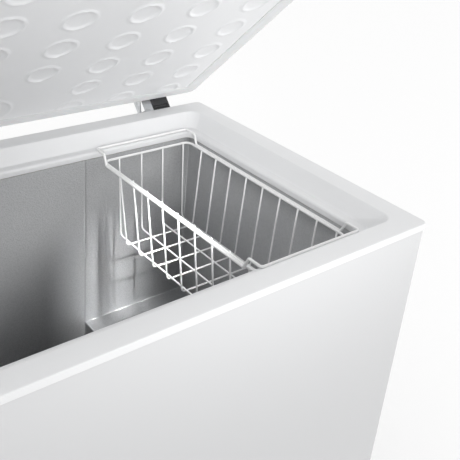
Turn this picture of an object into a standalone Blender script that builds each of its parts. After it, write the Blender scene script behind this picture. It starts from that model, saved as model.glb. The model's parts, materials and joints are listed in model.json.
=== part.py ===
"""Chest freezer with its lid standing open, in metres, +Z up.

The shapes are written in the cabinet's own frame: x = 0 in the middle, y = 0 on the front face of
the top rim, z = 0 on the floor. Two empties carry them: freezer_origin shifts everything so that
the world origin is the middle of the base of the whole object, and lid_hinge holds the lid pieces,
which are written closed, at their opened angle. Each piece is one closed solid.
"""

import math

import bmesh
import bpy
from mathutils import Vector

# ---- driving dimensions ------------------------------------------------------------------------
WIDTH = 0.988
DEPTH = 0.545
RIM_TOP = 0.790
FLOOR_GAP = 0.020
FOOT_FROM_SIDE = 0.060
LID_OPEN_DEG = 43.4
LID_OVERHANG = 0.002
LID_HEIGHT = 0.0475
GASKET_HEIGHT = 0.0122
LINING_BELOW_SEAL = 0.0015
LINING_THICK = 0.0060

SHEET = 0.0010
PLASTIC = 0.0022
GAP = 0.0003

RIM_SKIRT = 0.0105
RIM_FLAT = 0.034
LEDGE_DROP = 0.0225
LINER_INSET = 0.071
FRONT_NARROWER = 0.006
RIM_DROP = 0.0335
WRAPPER_INSET = 0.002
LINER_FLOOR = 0.075
HUMP_WIDTH = 0.216
HUMP_DROP = 0.364
FOAM_WALL = 0.045

PIVOT_BEHIND = 0.0232
PIVOT_BELOW = 0.0149
PIN_RADIUS = 0.0025
HINGE_WIDTH = 0.063
HINGE_FROM_SIDE = 0.0885
HINGE_THIRD = 0.018
COVER_LOW = -0.0045

BASKET_RIGHT = 0.078
BASKET_WIDTH = 0.181
BASKET_FRONT = 0.0715
BASKET_BACK = 0.4665
BASKET_DROP = 0.038
BASKET_BOTTOM = 0.185
CROSS_WIRES = 9
CROSS_FIRST = 0.419
CROSS_PITCH = 0.041
LONG_WIRES = 4
LONG_PITCH = 0.0444
LONG_FIRST = 0.0167
CAGE_WIRE = 0.0015
RING_WIRE = 0.0022

KNOB_FROM_SIDE = 0.1475
PANEL_Z = 0.100
KNOB_RADIUS = 0.018
KNOB_HEIGHT = 0.013
BEZEL = 0.003
DRAIN_X = -0.300
DRAIN_Y = 0.270
DRAIN_Z = 0.045

# ---- derived places ----------------------------------------------------------------------------
HALF = WIDTH / 2
WRAP_X = HALF - WRAPPER_INSET
WRAP_FRONT = WRAPPER_INSET
BACK_FACE = DEPTH - WRAPPER_INSET
SHEET_LOW = FLOOR_GAP + 0.002
SHEET_TOP = RIM_TOP - RIM_SKIRT - GAP
LINER_X = HALF - LINER_INSET
LINER_FRONT = LINER_INSET - FRONT_NARROWER
LINER_BACK = DEPTH - LINER_INSET
LINER_TOP = RIM_TOP - RIM_DROP - GAP
HUMP_X = LINER_X - HUMP_WIDTH
HUMP_TOP = RIM_TOP - HUMP_DROP
COIL_SPACE = 0.0095
SKIN_SPACE = 0.0062
ROOM_X = HUMP_X + FOAM_WALL
KNOB_X = HALF - KNOB_FROM_SIDE
ROOM_TOP = HUMP_TOP - FOAM_WALL
PIVOT_Y = DEPTH + PIVOT_BEHIND
PIVOT_Z = RIM_TOP - PIVOT_BELOW
LID_BOTTOM = RIM_TOP + GASKET_HEIGHT + GAP
LID_TOP = LID_BOTTOM + LID_HEIGHT
LINING_LOW = RIM_TOP - LINING_BELOW_SEAL
LID_CORNER = 0.014
LID_X = HALF + LID_OVERHANG
LID_FRONT = -LID_OVERHANG
LID_BACK = DEPTH + LID_OVERHANG
OPEN = math.radians(LID_OPEN_DEG)

# The rearmost point is on the rounding between the opened lid's back and its top.
REAR_REACH = (
    PIVOT_Y
    + (LID_BACK - LID_CORNER - PIVOT_Y) * math.cos(OPEN)
    + (LID_TOP - LID_CORNER - PIVOT_Z) * math.sin(OPEN)
    + LID_CORNER
)
FRONT_REACH = WRAP_FRONT - GAP - BEZEL - GAP - KNOB_HEIGHT
MIDDLE_Y = (FRONT_REACH + REAR_REACH) / 2

MATERIALS = {
    "white_steel": ((0.86, 0.86, 0.87), 0.0, 0.32),
    "white_plastic": ((0.84, 0.84, 0.85), 0.0, 0.40),
    "lid_plastic": ((0.80, 0.80, 0.82), 0.0, 0.38),
    "gasket_grey": ((0.72, 0.73, 0.75), 0.0, 0.60),
    "liner_aluminium": ((0.62, 0.63, 0.64), 1.0, 0.38),
    "foam": ((0.86, 0.78, 0.55), 0.0, 0.90),
    "galvanised": ((0.66, 0.68, 0.70), 1.0, 0.42),
    "spring_steel": ((0.60, 0.61, 0.62), 1.0, 0.30),
    "black_enamel": ((0.02, 0.02, 0.022), 0.0, 0.35),
    "black_plastic": ((0.03, 0.03, 0.032), 0.0, 0.45),
    "black_rubber": ((0.02, 0.02, 0.02), 0.0, 0.80),
    "copper": ((0.85, 0.45, 0.28), 1.0, 0.32),
    "white_wire": ((0.88, 0.88, 0.88), 0.0, 0.35),
    "grey_plastic": ((0.45, 0.46, 0.47), 0.0, 0.50),
    "green_lamp": ((0.10, 0.65, 0.20), 0.0, 0.20),
    "red_lamp": ((0.75, 0.08, 0.06), 0.0, 0.20),
}


# ---- scene and materials -----------------------------------------------------------------------
def clear_scene():
    for obj in list(bpy.data.objects):
        bpy.data.objects.remove(obj, do_unlink=True)


def material(name):
    """The named Principled material, made on first use."""
    found = bpy.data.materials.get(name)
    if found:
        return found
    colour, metallic, roughness = MATERIALS[name]
    made = bpy.data.materials.new(name)
    made.use_nodes = True
    shader = made.node_tree.nodes["Principled BSDF"]
    shader.inputs["Base Color"].default_value = (*colour, 1.0)
    shader.inputs["Metallic"].default_value = metallic
    shader.inputs["Roughness"].default_value = roughness
    return made


def add_empty(name, location, parent=None):
    empty = bpy.data.objects.new(name, None)
    empty.location = location
    empty.parent = parent
    bpy.context.scene.collection.objects.link(empty)
    return empty


def add_mesh(name, points, faces, material_name, parent=None, smooth=False):
    """One object from points and faces, its normals turned outwards."""
    mesh = bpy.data.meshes.new(name)
    mesh.from_pydata([tuple(map(float, p)) for p in points], [], [list(map(int, f)) for f in faces])
    work = bmesh.new()
    work.from_mesh(mesh)
    bmesh.ops.recalc_face_normals(work, faces=work.faces)
    work.to_mesh(mesh)
    work.free()
    mesh.materials.append(material(material_name))
    if smooth:
        mesh.shade_smooth()
        mesh.set_sharp_from_angle(angle=math.radians(40))
    obj = bpy.data.objects.new(name, mesh)
    obj.parent = parent
    bpy.context.scene.collection.objects.link(obj)
    return obj


def as_cutter(obj):
    obj.hide_render = True
    obj.display_type = "WIRE"
    return obj


def combine(obj, others, operation):
    """Cut the helper shapes from obj, or unite them with it, with EXACT Booleans."""
    for other in others:
        as_cutter(other)
        modifier = obj.modifiers.new(other.name, "BOOLEAN")
        modifier.operation = operation
        modifier.solver = "EXACT"
        modifier.object = other
    return obj


# ---- shapes as points and faces ----------------------------------------------------------------
def skin(loops, closed=False):
    """Faces between loops of equal length; closed joins last to first, else both ends are capped."""
    count = len(loops[0])
    points = [p for loop in loops for p in loop]
    faces = []
    for i in range(len(loops) if closed else len(loops) - 1):
        low = i * count
        high = ((i + 1) % len(loops)) * count
        for j in range(count):
            k = (j + 1) % count
            faces.append((low + j, low + k, high + k, high + j))
    if not closed:
        faces.append(tuple(reversed(range(count))))
        faces.append(tuple(range(len(points) - count, len(points))))
    return points, faces


def rectangle_loop(x_range, y_range, radius, z, steps=4):
    """A rectangle with round corners at height z, anticlockwise from its right front corner."""
    corners = (
        (x_range[1] - radius, y_range[0] + radius, -90),
        (x_range[1] - radius, y_range[1] - radius, 0),
        (x_range[0] + radius, y_range[1] - radius, 90),
        (x_range[0] + radius, y_range[0] + radius, 180),
    )
    loop = []
    for x, y, start in corners:
        for step in range(steps + 1):
            angle = math.radians(start + 90 * step / steps)
            loop.append((x + radius * math.cos(angle), y + radius * math.sin(angle), z))
    return loop


def circle_loop(centre, axis, radius, sides, start=0.0):
    """Points of a circle round an axis, which is one of the letters X, Y and Z."""
    loop = []
    for i in range(sides):
        angle = start + 2 * math.pi * i / sides
        flat = (radius * math.cos(angle), radius * math.sin(angle))
        offset = {"X": (0, *flat), "Y": (flat[1], 0, flat[0]), "Z": (*flat, 0)}[axis]
        loop.append(tuple(c + o for c, o in zip(centre, offset)))
    return loop


def turned_loops(base, axis, profile, sides):
    """Circle loops for a profile of (distance along the axis, radius) pairs."""
    along = {"X": Vector((1, 0, 0)), "Y": Vector((0, 1, 0)), "Z": Vector((0, 0, 1))}[axis]
    return [circle_loop(Vector(base) + along * d, axis, r, sides) for d, r in profile]


def sweep_loops(path, radius, sides):
    """Circles carried along a path without twisting."""
    points = [Vector(p) for p in path]
    tangents = []
    for i in range(len(points)):
        before = points[max(i - 1, 0)]
        after = points[min(i + 1, len(points) - 1)]
        tangents.append((after - before).normalized())
    side = tangents[0].orthogonal().normalized()
    loops = []
    for i, point in enumerate(points):
        side = (side - tangents[i] * side.dot(tangents[i])).normalized()
        other = tangents[i].cross(side)
        turns = (2 * math.pi * (j + 0.5) / sides for j in range(sides))
        loops.append([tuple(point + radius * (side * math.cos(a) + other * math.sin(a))) for a in turns])
    return loops


def rounded_path(corners, radius, steps=3):
    """A polyline whose inner corners are arcs, as a bent wire or tube has."""
    path = [Vector(corners[0])]
    for before, corner, after in zip(corners, corners[1:], corners[2:]):
        here = Vector(corner)
        back = (Vector(before) - here).normalized()
        ahead = (Vector(after) - here).normalized()
        half = back.angle(ahead) / 2
        centre = here + (back + ahead).normalized() * radius / math.sin(half)
        start = here + back * radius / math.tan(half) - centre
        end = here + ahead * radius / math.tan(half) - centre
        for step in range(steps + 1):
            t = step / steps
            arm = (start * (1 - t) + end * t).normalized() * radius
            path.append(centre + arm)
    path.append(Vector(corners[-1]))
    return path


# ---- shapes as objects -------------------------------------------------------------------------
def add_box(name, x_range, y_range, z_range, material_name, parent=None, bevel=0.0):
    low, high = zip(sorted(x_range), sorted(y_range), sorted(z_range))
    base = [(low[0], low[1]), (high[0], low[1]), (high[0], high[1]), (low[0], high[1])]
    loops = [[(*p, z) for p in base] for z in (low[2], high[2])]
    obj = add_mesh(name, *skin(loops), material_name, parent)
    if bevel:
        modifier = obj.modifiers.new("edges", "BEVEL")
        modifier.width = bevel
        modifier.segments = 2
    return obj


def add_turned(name, base, axis, profile, sides, material_name, parent=None):
    """A solid of revolution with flat ends."""
    points, faces = skin(turned_loops(base, axis, profile, sides))
    return add_mesh(name, points, faces, material_name, parent, smooth=True)


def add_turned_ring(name, base, axis, profile, sides, material_name, parent=None):
    """A turned solid with a hole through it: its profile is a closed outline."""
    points, faces = skin(turned_loops(base, axis, profile, sides), closed=True)
    return add_mesh(name, points, faces, material_name, parent, smooth=True)


def add_tube(name, path, radius, sides, material_name, parent=None, bore=0.0):
    """A round rod along a path, or a tube if it has a bore."""
    outer = sweep_loops(path, radius, sides)
    if not bore:
        return add_mesh(name, *skin(outer), material_name, parent, smooth=True)
    inner = sweep_loops(path, bore, sides)
    points, faces = skin(outer + inner[::-1], closed=True)
    return add_mesh(name, points, faces, material_name, parent, smooth=True)


def add_wire_loop(name, path, radius, sides, material_name, parent=None):
    """A wire whose end is welded to its start."""
    ends = [path[-1]] + list(path) + [path[0]]
    loops = sweep_loops(ends, radius, sides)[1:-1]
    first = [Vector(p) for p in loops[0]]
    last = [Vector(p) for p in loops[-1]]
    centre_first = sum(first, Vector()) / sides
    centre_last = sum(last, Vector()) / sides
    spans = []
    for turn in range(sides):
        spans.append(sum((last[j] - centre_last - first[(j + turn) % sides] + centre_first).length
                         for j in range(sides)))
    turn = spans.index(min(spans))
    points, faces = skin(loops)
    faces = faces[:-2]
    low = (len(loops) - 1) * sides
    for j in range(sides):
        k = (j + 1) % sides
        faces.append((low + j, low + k, (k + turn) % sides, (j + turn) % sides))
    return add_mesh(name, points, faces, material_name, parent, smooth=True)


def add_prism(name, outline, axis, start, end, material_name, parent=None):
    """A flat outline pushed along X, Y or Z; its pairs are the other two coordinates in order."""
    def place(a, b, d):
        return {"X": (d, a, b), "Y": (a, d, b), "Z": (a, b, d)}[axis]

    loops = [[place(a, b, d) for a, b in outline] for d in (start, end)]
    return add_mesh(name, *skin(loops), material_name, parent)


# ---- cabinet shell -----------------------------------------------------------------------------
def wrapper_outline(offset, radius, steps=8):
    """Plan of the bent sheet, from its left back end round the front to its right back end."""
    outline = [(-WRAP_X + offset, BACK_FACE - SHEET - GAP)]
    bends = ((-WRAP_X + radius, 180), (WRAP_X - radius, 270))
    for x, start in bends:
        for step in range(steps + 1):
            angle = math.radians(start + 90 * step / steps)
            reach = radius - offset
            outline.append((x + reach * math.cos(angle), WRAP_FRONT + radius + reach * math.sin(angle)))
    outline.append((WRAP_X - offset, BACK_FACE - SHEET - GAP))
    return outline


def build_outer_wrapper(root):
    outline = wrapper_outline(0.0, 0.006) + wrapper_outline(SHEET, 0.006)[::-1]
    wrapper = add_prism(
        "outer_wrapper", outline, "Z", SHEET_LOW, SHEET_TOP, "white_steel", root
    )
    vent = add_box("wrapper_vent_cut", (WRAP_X - 0.01, WRAP_X + 0.01), (0.100, 0.340), (0.090, 0.290),
                   "foam", root)
    shaft = add_turned("wrapper_shaft_cut", (KNOB_X, WRAP_FRONT - 0.01, PANEL_Z), "Y",
                       ((0, 0.006), (0.03, 0.006)), 12, "foam", root)
    drain = add_turned("wrapper_drain_cut", (DRAIN_X, WRAP_FRONT - 0.01, DRAIN_Z), "Y",
                       ((0, 0.0088), (0.03, 0.0088)), 16, "foam", root)
    return combine(wrapper, (vent, shaft, drain), "DIFFERENCE")


def build_back_panel(root):
    panel = add_box("back_panel", (-WRAP_X, WRAP_X), (BACK_FACE - SHEET, BACK_FACE),
                    (SHEET_LOW, SHEET_TOP), "galvanised", root)
    opening = add_box("back_opening_cut", (ROOM_X + 0.0175, HALF - 0.0225),
                      (BACK_FACE - 0.01, BACK_FACE + 0.01),
                      (0.045, 0.300), "foam", root)
    return combine(panel, (opening,), "DIFFERENCE")


def build_base_pan(root):
    """A folded tray that closes the cabinet below and carries the feet and the compressor."""
    x, front, back = WRAP_X - SHEET - GAP, WRAP_FRONT + SHEET + GAP, BACK_FACE - SHEET - GAP
    low, high = SHEET_LOW, SHEET_LOW + 0.012
    loops = [
        rectangle_loop((-x, x), (front, back), 0.006, low),
        rectangle_loop((-x, x), (front, back), 0.006, high),
        rectangle_loop((-x + SHEET, x - SHEET), (front + SHEET, back - SHEET), 0.005, high),
        rectangle_loop((-x + SHEET, x - SHEET), (front + SHEET, back - SHEET), 0.005, low + SHEET),
    ]
    return add_mesh("base_pan", *skin(loops), "galvanised", root)


def stepped_outline(grow, top):
    """The XZ outline of the storage space with the step over the machine room, grown outwards."""
    return [
        (-LINER_X - grow, LINER_FLOOR - grow),
        (HUMP_X + grow, LINER_FLOOR - grow),
        (HUMP_X + grow, HUMP_TOP - grow),
        (LINER_X + grow, HUMP_TOP - grow),
        (LINER_X + grow, top),
        (-LINER_X - grow, top),
    ]


def add_stepped(name, grow, top, material_name, root):
    return add_prism(name, stepped_outline(grow, top), "Y", LINER_FRONT - grow, LINER_BACK + grow,
                     material_name, root)


def build_inner_liner(root):
    liner = add_stepped("inner_liner", 0.0012, LINER_TOP, "liner_aluminium", root)
    hollow = add_stepped("liner_hollow_cut", 0.0, LINER_TOP + 0.05, "foam", root)
    drain = add_turned("liner_drain_cut", (DRAIN_X, DRAIN_Y, LINER_FLOOR - 0.01), "Z",
                       ((0, 0.0085), (0.02, 0.0085)), 16, "foam", root)
    return combine(liner, (hollow, drain), "DIFFERENCE")


def build_foam(root):
    """Foam between the sheets, with the spaces kept for the coils, the drain and the machine room."""
    x = WRAP_X - SHEET - SKIN_SPACE
    front = WRAP_FRONT + SHEET + SKIN_SPACE
    back = BACK_FACE - SHEET - GAP
    spans = ((-x, x), (front, back), 0.014)
    loops = [rectangle_loop(*spans, z) for z in (SHEET_LOW + 0.012 + GAP, RIM_TOP - 0.0350)]
    foam = add_mesh("foam_insulation", *skin(loops), "foam", root)
    hollow = add_stepped("foam_hollow_cut", COIL_SPACE, RIM_TOP + 0.05, "foam", root)
    room = add_box("foam_room_cut", (ROOM_X, HALF), (-0.01, DEPTH + 0.01), (0.0, ROOM_TOP), "foam", root)
    drain = add_box("foam_drain_cut", (DRAIN_X - 0.012, DRAIN_X + 0.012), (-0.01, DRAIN_Y + 0.012),
                    (0.0, LINER_FLOOR), "foam", root)
    passage = add_box("foam_passage_cut", (LINER_X + 0.001, LINER_X + 0.018), (0.430, 0.470),
                      (ROOM_TOP - 0.01, HUMP_TOP + 0.08), "foam", root)
    return combine(foam, (hollow, room, drain, passage), "DIFFERENCE")


RIM_SECTION = (
    (0.0, -RIM_SKIRT), (0.0, -0.0012), (0.0012, 0.0), (RIM_FLAT - 0.0014, 0.0),
    (RIM_FLAT + 0.0004, -0.0010), (0.0545, -0.0208), (0.0565, -LEDGE_DROP), (0.0652, -LEDGE_DROP),
    (0.0688, -0.0238), (0.0707, -0.0272), (0.0707, -RIM_DROP), (0.0690, -RIM_DROP),
    (0.0690, -0.0282), (0.0650, -0.0247), (0.0556, -0.0247), (0.0532, -0.0228),
    (0.0326, -PLASTIC - 0.0008), (0.0310, -PLASTIC), (0.0017, -PLASTIC), (0.0017, -RIM_SKIRT),
)


def rim_loop(inset, drop):
    """One edge line of the rim; past the flat top the front is a little narrower than the rest."""
    share = min(max((inset - RIM_FLAT) / (0.0690 - RIM_FLAT), 0.0), 1.0)
    radius = 0.009 if inset < 0.02 else 0.022 - 0.010 * share
    across = (-HALF + inset, HALF - inset)
    return rectangle_loop(across, (inset - FRONT_NARROWER * share, DEPTH - inset), radius, RIM_TOP + drop)


def build_top_rim(root):
    loops = [rim_loop(inset, drop) for inset, drop in RIM_SECTION]
    return add_mesh("top_rim", *skin(loops, closed=True), "white_plastic", root, smooth=True)


def build_feet(root):
    """Four moulded feet, each a low cone with a round pad."""
    x, front, back = HALF - FOOT_FROM_SIDE, FOOT_FROM_SIDE, DEPTH - FOOT_FROM_SIDE
    places = {"front_left": (-x, front), "front_right": (x, front),
              "back_left": (-x, back), "back_right": (x, back)}
    top = SHEET_LOW - GAP
    profile = ((0.0, 0.0175), (0.004, 0.0190), (top - 0.003, 0.0235), (top, 0.0235))
    for name, (x, y) in places.items():
        add_turned("foot_" + name, (x, y, 0.0), "Z", profile, 16, "black_plastic", root)


# ---- refrigeration -----------------------------------------------------------------------------
def coil_path(x, front, back, low, pitch, turns):
    """A rectangular helix round the liner, starting and ending near the right back corner."""
    corners = [(x, back - 0.03, low)]
    ring = ((x, back), (-x, back), (-x, front), (x, front))
    for turn in range(turns):
        for step, (px, py) in enumerate(ring):
            corners.append((px, py, low + pitch * (turn + step / 4)))
    corners.append((x, back - 0.06, low + pitch * turns))
    return corners


def build_evaporator_coil(root):
    """The cold coil, wound on the outside of the liner, and its end dropping to the machine room."""
    off = 0.0012 + 0.0045
    x, front, back = LINER_X + off, LINER_FRONT - off, LINER_BACK + off
    low = HUMP_TOP + 0.045
    wound = coil_path(x, front, back, low, 0.055, 5)
    corners = [(x, 0.4450, ROOM_TOP + 0.002), (x, 0.4450, low)] + wound[1:]
    path = rounded_path(corners, 0.006)
    return add_tube("evaporator_coil", path, 0.0034, 6, "liner_aluminium", root)


def build_condenser_coil(root):
    """The warm coil, a serpentine on the inside of the front and left sheets."""
    skin_y = WRAP_FRONT + SHEET + SKIN_SPACE / 2
    skin_x = -(WRAP_X - SHEET - SKIN_SPACE / 2)
    right, rear = ROOM_X - 0.030, 0.500
    corners = [(ROOM_X + 0.030, skin_y, 0.160), (skin_x, skin_y, 0.160)]
    for row in range(4):
        low = 0.160 + 0.120 * row
        high = low + 0.120
        if row % 2 == 0:
            corners += [(skin_x, rear, low), (skin_x, rear, high)]
            corners.append((skin_x, skin_y, high))
        else:
            corners += [(right, skin_y, low), (right, skin_y, high)]
            corners.append((skin_x, skin_y, high))
    corners.append((skin_x, rear, 0.640))
    return add_tube("condenser_coil", rounded_path(corners, 0.012), 0.0024, 6, "copper", root)


COMPRESSOR = (HALF - 0.1275, 0.345)
COMPRESSOR_MIDDLE = 0.125
COMPRESSOR_PORT = 0.1925


def compressor_loop(scale, z, sides=20):
    """An oval of the compressor's can: 0.19 long front to back and 0.15 wide at full scale."""
    x, y = COMPRESSOR
    turns = (2 * math.pi * i / sides for i in range(sides))
    return [(x + 0.075 * scale * math.cos(a), y + 0.095 * scale * math.sin(a), z) for a in turns]


def compressor_cup(direction, height, lip):
    """Loops of a domed cup: outside from the middle of the dome to its mouth, then back inside."""
    outside, inside = [], []
    for step in range(5):
        angle = math.radians(8 + 82 * step / 4)
        outside.append((math.sin(angle) ** 0.7, height * math.cos(angle)))
        inside.append((math.sin(angle) ** 0.7 - 0.045, (height - 0.003) * math.cos(angle)))
    profile = [(s, lip + h) for s, h in outside] + [(1.0, GAP / 2)]
    profile += [(0.955, GAP / 2)] + [(s, lip + h) for s, h in inside[::-1]]
    return [compressor_loop(s, COMPRESSOR_MIDDLE + direction * h) for s, h in profile]


def build_compressor(root):
    add_mesh("compressor_lower_shell", *skin(compressor_cup(-1, 0.055, 0.018)), "black_enamel", root, True)
    add_mesh("compressor_upper_shell", *skin(compressor_cup(1, 0.060, 0.020)), "black_enamel", root, True)
    x, y = COMPRESSOR
    add_box("compressor_pump", (x - 0.040, x + 0.040), (y - 0.052, y + 0.052), (0.085, 0.160),
            "spring_steel", root, bevel=0.008)
    add_box("compressor_base_plate", (x - 0.072, x + 0.072), (y - 0.098, y + 0.098), (0.0455, 0.0485),
            "black_enamel", root)
    spots = ((-0.055, -0.080), (0.055, -0.080), (-0.055, 0.080), (0.055, 0.080))
    low = SHEET_LOW + SHEET + GAP
    for number, (dx, dy) in enumerate(spots, 1):
        profile = ((0.0, 0.0110), (0.008, 0.0110), (0.0145, 0.0090), (0.0455 - GAP - low, 0.0090))
        add_turned(f"compressor_grommet_{number}", (x + dx, y + dy, low), "Z", profile, 12,
                   "black_rubber", root)


def build_start_relay(root):
    x, y = COMPRESSOR
    add_box("start_relay_cover", (x - 0.035, x + 0.035), (y - 0.135, y - 0.0965), (0.085, 0.150),
            "black_plastic", root, bevel=0.003)


def build_refrigerant_lines(root):
    """Filter drier and the three lines that join the compressor, the drier and the coils."""
    drier_x, drier_y = ROOM_X + 0.030, 0.430
    profile = ((0.0, 0.0025), (0.008, 0.0090), (0.100, 0.0090), (0.112, 0.0025))
    add_turned("filter_drier", (drier_x, drier_y, 0.150), "Z", profile, 12, "copper", root)
    top = 0.150 + 0.112 + GAP
    riser = LINER_X + 0.0095
    coil = [(drier_x, drier_y, top), (drier_x, drier_y, 0.340), (drier_x + 0.060, drier_y, 0.350),
            (riser - 0.015, 0.4600, 0.355), (riser, 0.4600, 0.355), (riser, 0.4600, ROOM_TOP + 0.020)]
    add_tube("capillary_tube", rounded_path(coil, 0.010), 0.0013, 6, "copper", root)
    x, y = COMPRESSOR
    side = LINER_X + 0.0012 + 0.0045
    suction = [(side, 0.4450, ROOM_TOP + 0.002 - GAP), (side, 0.4450, 0.250), (x + 0.048, y + 0.040, 0.250),
               (x + 0.048, y + 0.040, COMPRESSOR_PORT)]
    add_tube("suction_tube", rounded_path(suction, 0.012), 0.0032, 8, "copper", root)
    skin_y = WRAP_FRONT + SHEET + SKIN_SPACE / 2
    start = ROOM_X + 0.030 + GAP
    discharge = [(start, skin_y, 0.160), (start + 0.020, skin_y, 0.160), (start + 0.020, 0.130, 0.230),
                 (x - 0.045, y - 0.040, 0.230), (x - 0.045, y - 0.040, COMPRESSOR_PORT)]
    add_tube("discharge_tube", rounded_path(discharge, 0.010), 0.0026, 8, "copper", root)


# ---- vents, controls and drain -----------------------------------------------------------------
def slot_cutters(prefix, axis, across, rows, depth_range, half_height, root):
    """Boxes for a column of slots: across is the slot's span, rows the heights of their middles."""
    cutters = []
    for number, z in enumerate(rows):
        spans = {"X": (depth_range, across), "Y": (across, depth_range)}[axis]
        cutters.append(add_box(f"{prefix}_{number}", *spans, (z - half_height, z + half_height),
                               "foam", root))
    return cutters


def build_side_vent(root):
    """A louvred plastic grille set into the right side sheet."""
    grille = add_box("side_vent_grille", (WRAP_X - 0.0028, WRAP_X), (0.1005, 0.3395), (0.0905, 0.2895),
                     "white_plastic", root)
    rows = [0.112 + 0.0195 * i for i in range(9)]
    through = (WRAP_X - 0.01, WRAP_X + 0.01)
    cutters = slot_cutters("vent_slot", "X", (0.115, 0.325), rows, through, 0.0055, root)
    return combine(grille, cutters, "DIFFERENCE")


def build_machine_room_cover(root):
    """The rear plate of the machine room, slotted for air, with the hole for the mains cord's gland."""
    face = BACK_FACE + GAP
    cover = add_box("machine_room_cover", (ROOM_X + 0.0075, HALF - 0.0125), (face, face + 0.0012),
                    (0.035, 0.310), "galvanised", root)
    rows = [0.115 + 0.022 * i for i in range(8)]
    across = (ROOM_X + 0.0325, HALF - 0.0375)
    cutters = slot_cutters("cover_slot", "Y", across, rows, (face - 0.01, face + 0.01), 0.005, root)
    gland_x = ROOM_X + 0.0425
    cutters.append(add_turned("cover_gland_cut", (gland_x, face - 0.01, 0.070), "Y",
                              ((0, 0.0085), (0.03, 0.0085)), 16, "foam", root))
    combine(cover, cutters, "DIFFERENCE")
    profile = ((-0.006, 0.0082), (GAP + 0.0012 + GAP, 0.0082), (GAP + 0.0012 + GAP, 0.0115),
               (0.009, 0.0105), (0.009, 0.0045), (-0.006, 0.0045))
    add_turned_ring("cord_gland", (gland_x, BACK_FACE, 0.070), "Y", profile, 16, "black_rubber", root)


def build_controls(root):
    """Thermostat with its dial, and two lamps, on a small panel low on the right of the front."""
    face = WRAP_FRONT - GAP
    bezel = add_box("control_bezel", (KNOB_X - 0.040, KNOB_X + 0.100), (face - BEZEL, face),
                    (PANEL_Z - 0.030, PANEL_Z + 0.030),
                    "grey_plastic", root, bevel=0.001)
    holes = [add_turned("bezel_shaft_cut", (KNOB_X, face - 0.01, PANEL_Z), "Y", ((0, 0.006), (0.02, 0.006)),
                        12, "foam", root)]
    lamps = (("power_lamp", KNOB_X + 0.050, "green_lamp"), ("alarm_lamp", KNOB_X + 0.075, "red_lamp"))
    for name, x, colour in lamps:
        holes.append(add_turned(name + "_cut", (x, face - 0.01, PANEL_Z), "Y", ((0, 0.0033), (0.02, 0.0033)),
                                12, "foam", root))
        profile = ((-BEZEL - 0.0015, 0.0020), (-BEZEL - 0.0005, 0.0030), (0.0, 0.0030))
        add_turned(name, (x, face, PANEL_Z), "Y", profile, 12, colour, root)
    combine(bezel, holes, "DIFFERENCE")
    inside = WRAP_FRONT + SHEET + SKIN_SPACE + 0.002
    body = add_box("thermostat_body", (KNOB_X - 0.022, KNOB_X + 0.022), (inside, inside + 0.030),
                   (PANEL_Z - 0.018, PANEL_Z + 0.018), "grey_plastic", root, bevel=0.002)
    shaft = add_turned("thermostat_shaft", (KNOB_X, WRAP_FRONT - 0.006, PANEL_Z), "Y",
                       ((0, 0.0030), (0.025, 0.0030)), 12, "foam", root)
    return combine(body, (shaft,), "UNION")


def build_thermostat_knob(root):
    """The dial: a round knob with a grip bar, bored for the thermostat's shaft."""
    pivot = add_empty("thermostat_turn", (KNOB_X, WRAP_FRONT - GAP - BEZEL - GAP, PANEL_Z), root)
    profile = ((0.0, KNOB_RADIUS), (-0.0045, KNOB_RADIUS), (-0.0055, KNOB_RADIUS - 0.001),
               (-0.0055, 0.0001))
    knob = add_turned("thermostat_knob", (0, 0, 0), "Y", profile, 24, "white_plastic", pivot)
    grip = add_box("knob_grip", (-0.0035, 0.0035), (-KNOB_HEIGHT, -0.003), (-0.0150, 0.0150), "foam", pivot)
    bore = add_turned("knob_bore_cut", (0, -0.0035, 0), "Y", ((0, 0.0034), (0.02, 0.0034)), 12, "foam", pivot)
    combine(knob, (grip,), "UNION")
    return combine(knob, (bore,), "DIFFERENCE")


def build_drain(root):
    """A tube from the liner's floor to the front, with its plug above and its cap in front."""
    top = LINER_FLOOR - 0.0012 - GAP
    mouth = WRAP_FRONT + SHEET + GAP
    corners = [(DRAIN_X, DRAIN_Y, top), (DRAIN_X, DRAIN_Y, DRAIN_Z), (DRAIN_X, mouth, DRAIN_Z)]
    add_tube("drain_tube", rounded_path(corners, 0.014, 4), 0.0095, 12, "grey_plastic", root, bore=0.0080)
    lift = add_empty("drain_plug_lift", (DRAIN_X, DRAIN_Y, LINER_FLOOR + GAP), root)
    plug = ((-0.010, 0.0060), (0.0, 0.0070), (0.0, 0.0150), (0.003, 0.0150), (0.004, 0.0060), (0.012, 0.0050))
    add_turned("drain_plug", (0, 0, 0), "Z", plug, 16, "white_plastic", lift)
    pull = add_empty("drain_cap_pull", (DRAIN_X, WRAP_FRONT - GAP, DRAIN_Z), root)
    cap = ((0.010, 0.0060), (0.0, 0.0070), (0.0, 0.0140), (-0.003, 0.0140), (-0.006, 0.0115))
    add_turned("drain_cap", (0, 0, 0), "Y", cap, 16, "white_plastic", pull)


# ---- basket ------------------------------------------------------------------------------------
def basket_places():
    """X of both rails and Y of both ends, for the middle line of the ring wire."""
    right = HALF - BASKET_RIGHT - RING_WIRE
    left = right - BASKET_WIDTH + 2 * RING_WIRE
    return left, right, BASKET_FRONT + RING_WIRE, BASKET_BACK - RING_WIRE


def build_basket_ring(slide):
    """The round-cornered frame wire that the cage hangs from."""
    left, right, front, back = basket_places()
    path = rectangle_loop((left, right), (front, back), 0.012, RIM_TOP - BASKET_DROP, steps=3)
    return add_wire_loop("basket_ring", path, RING_WIRE, 6, "white_wire", slide)


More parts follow.
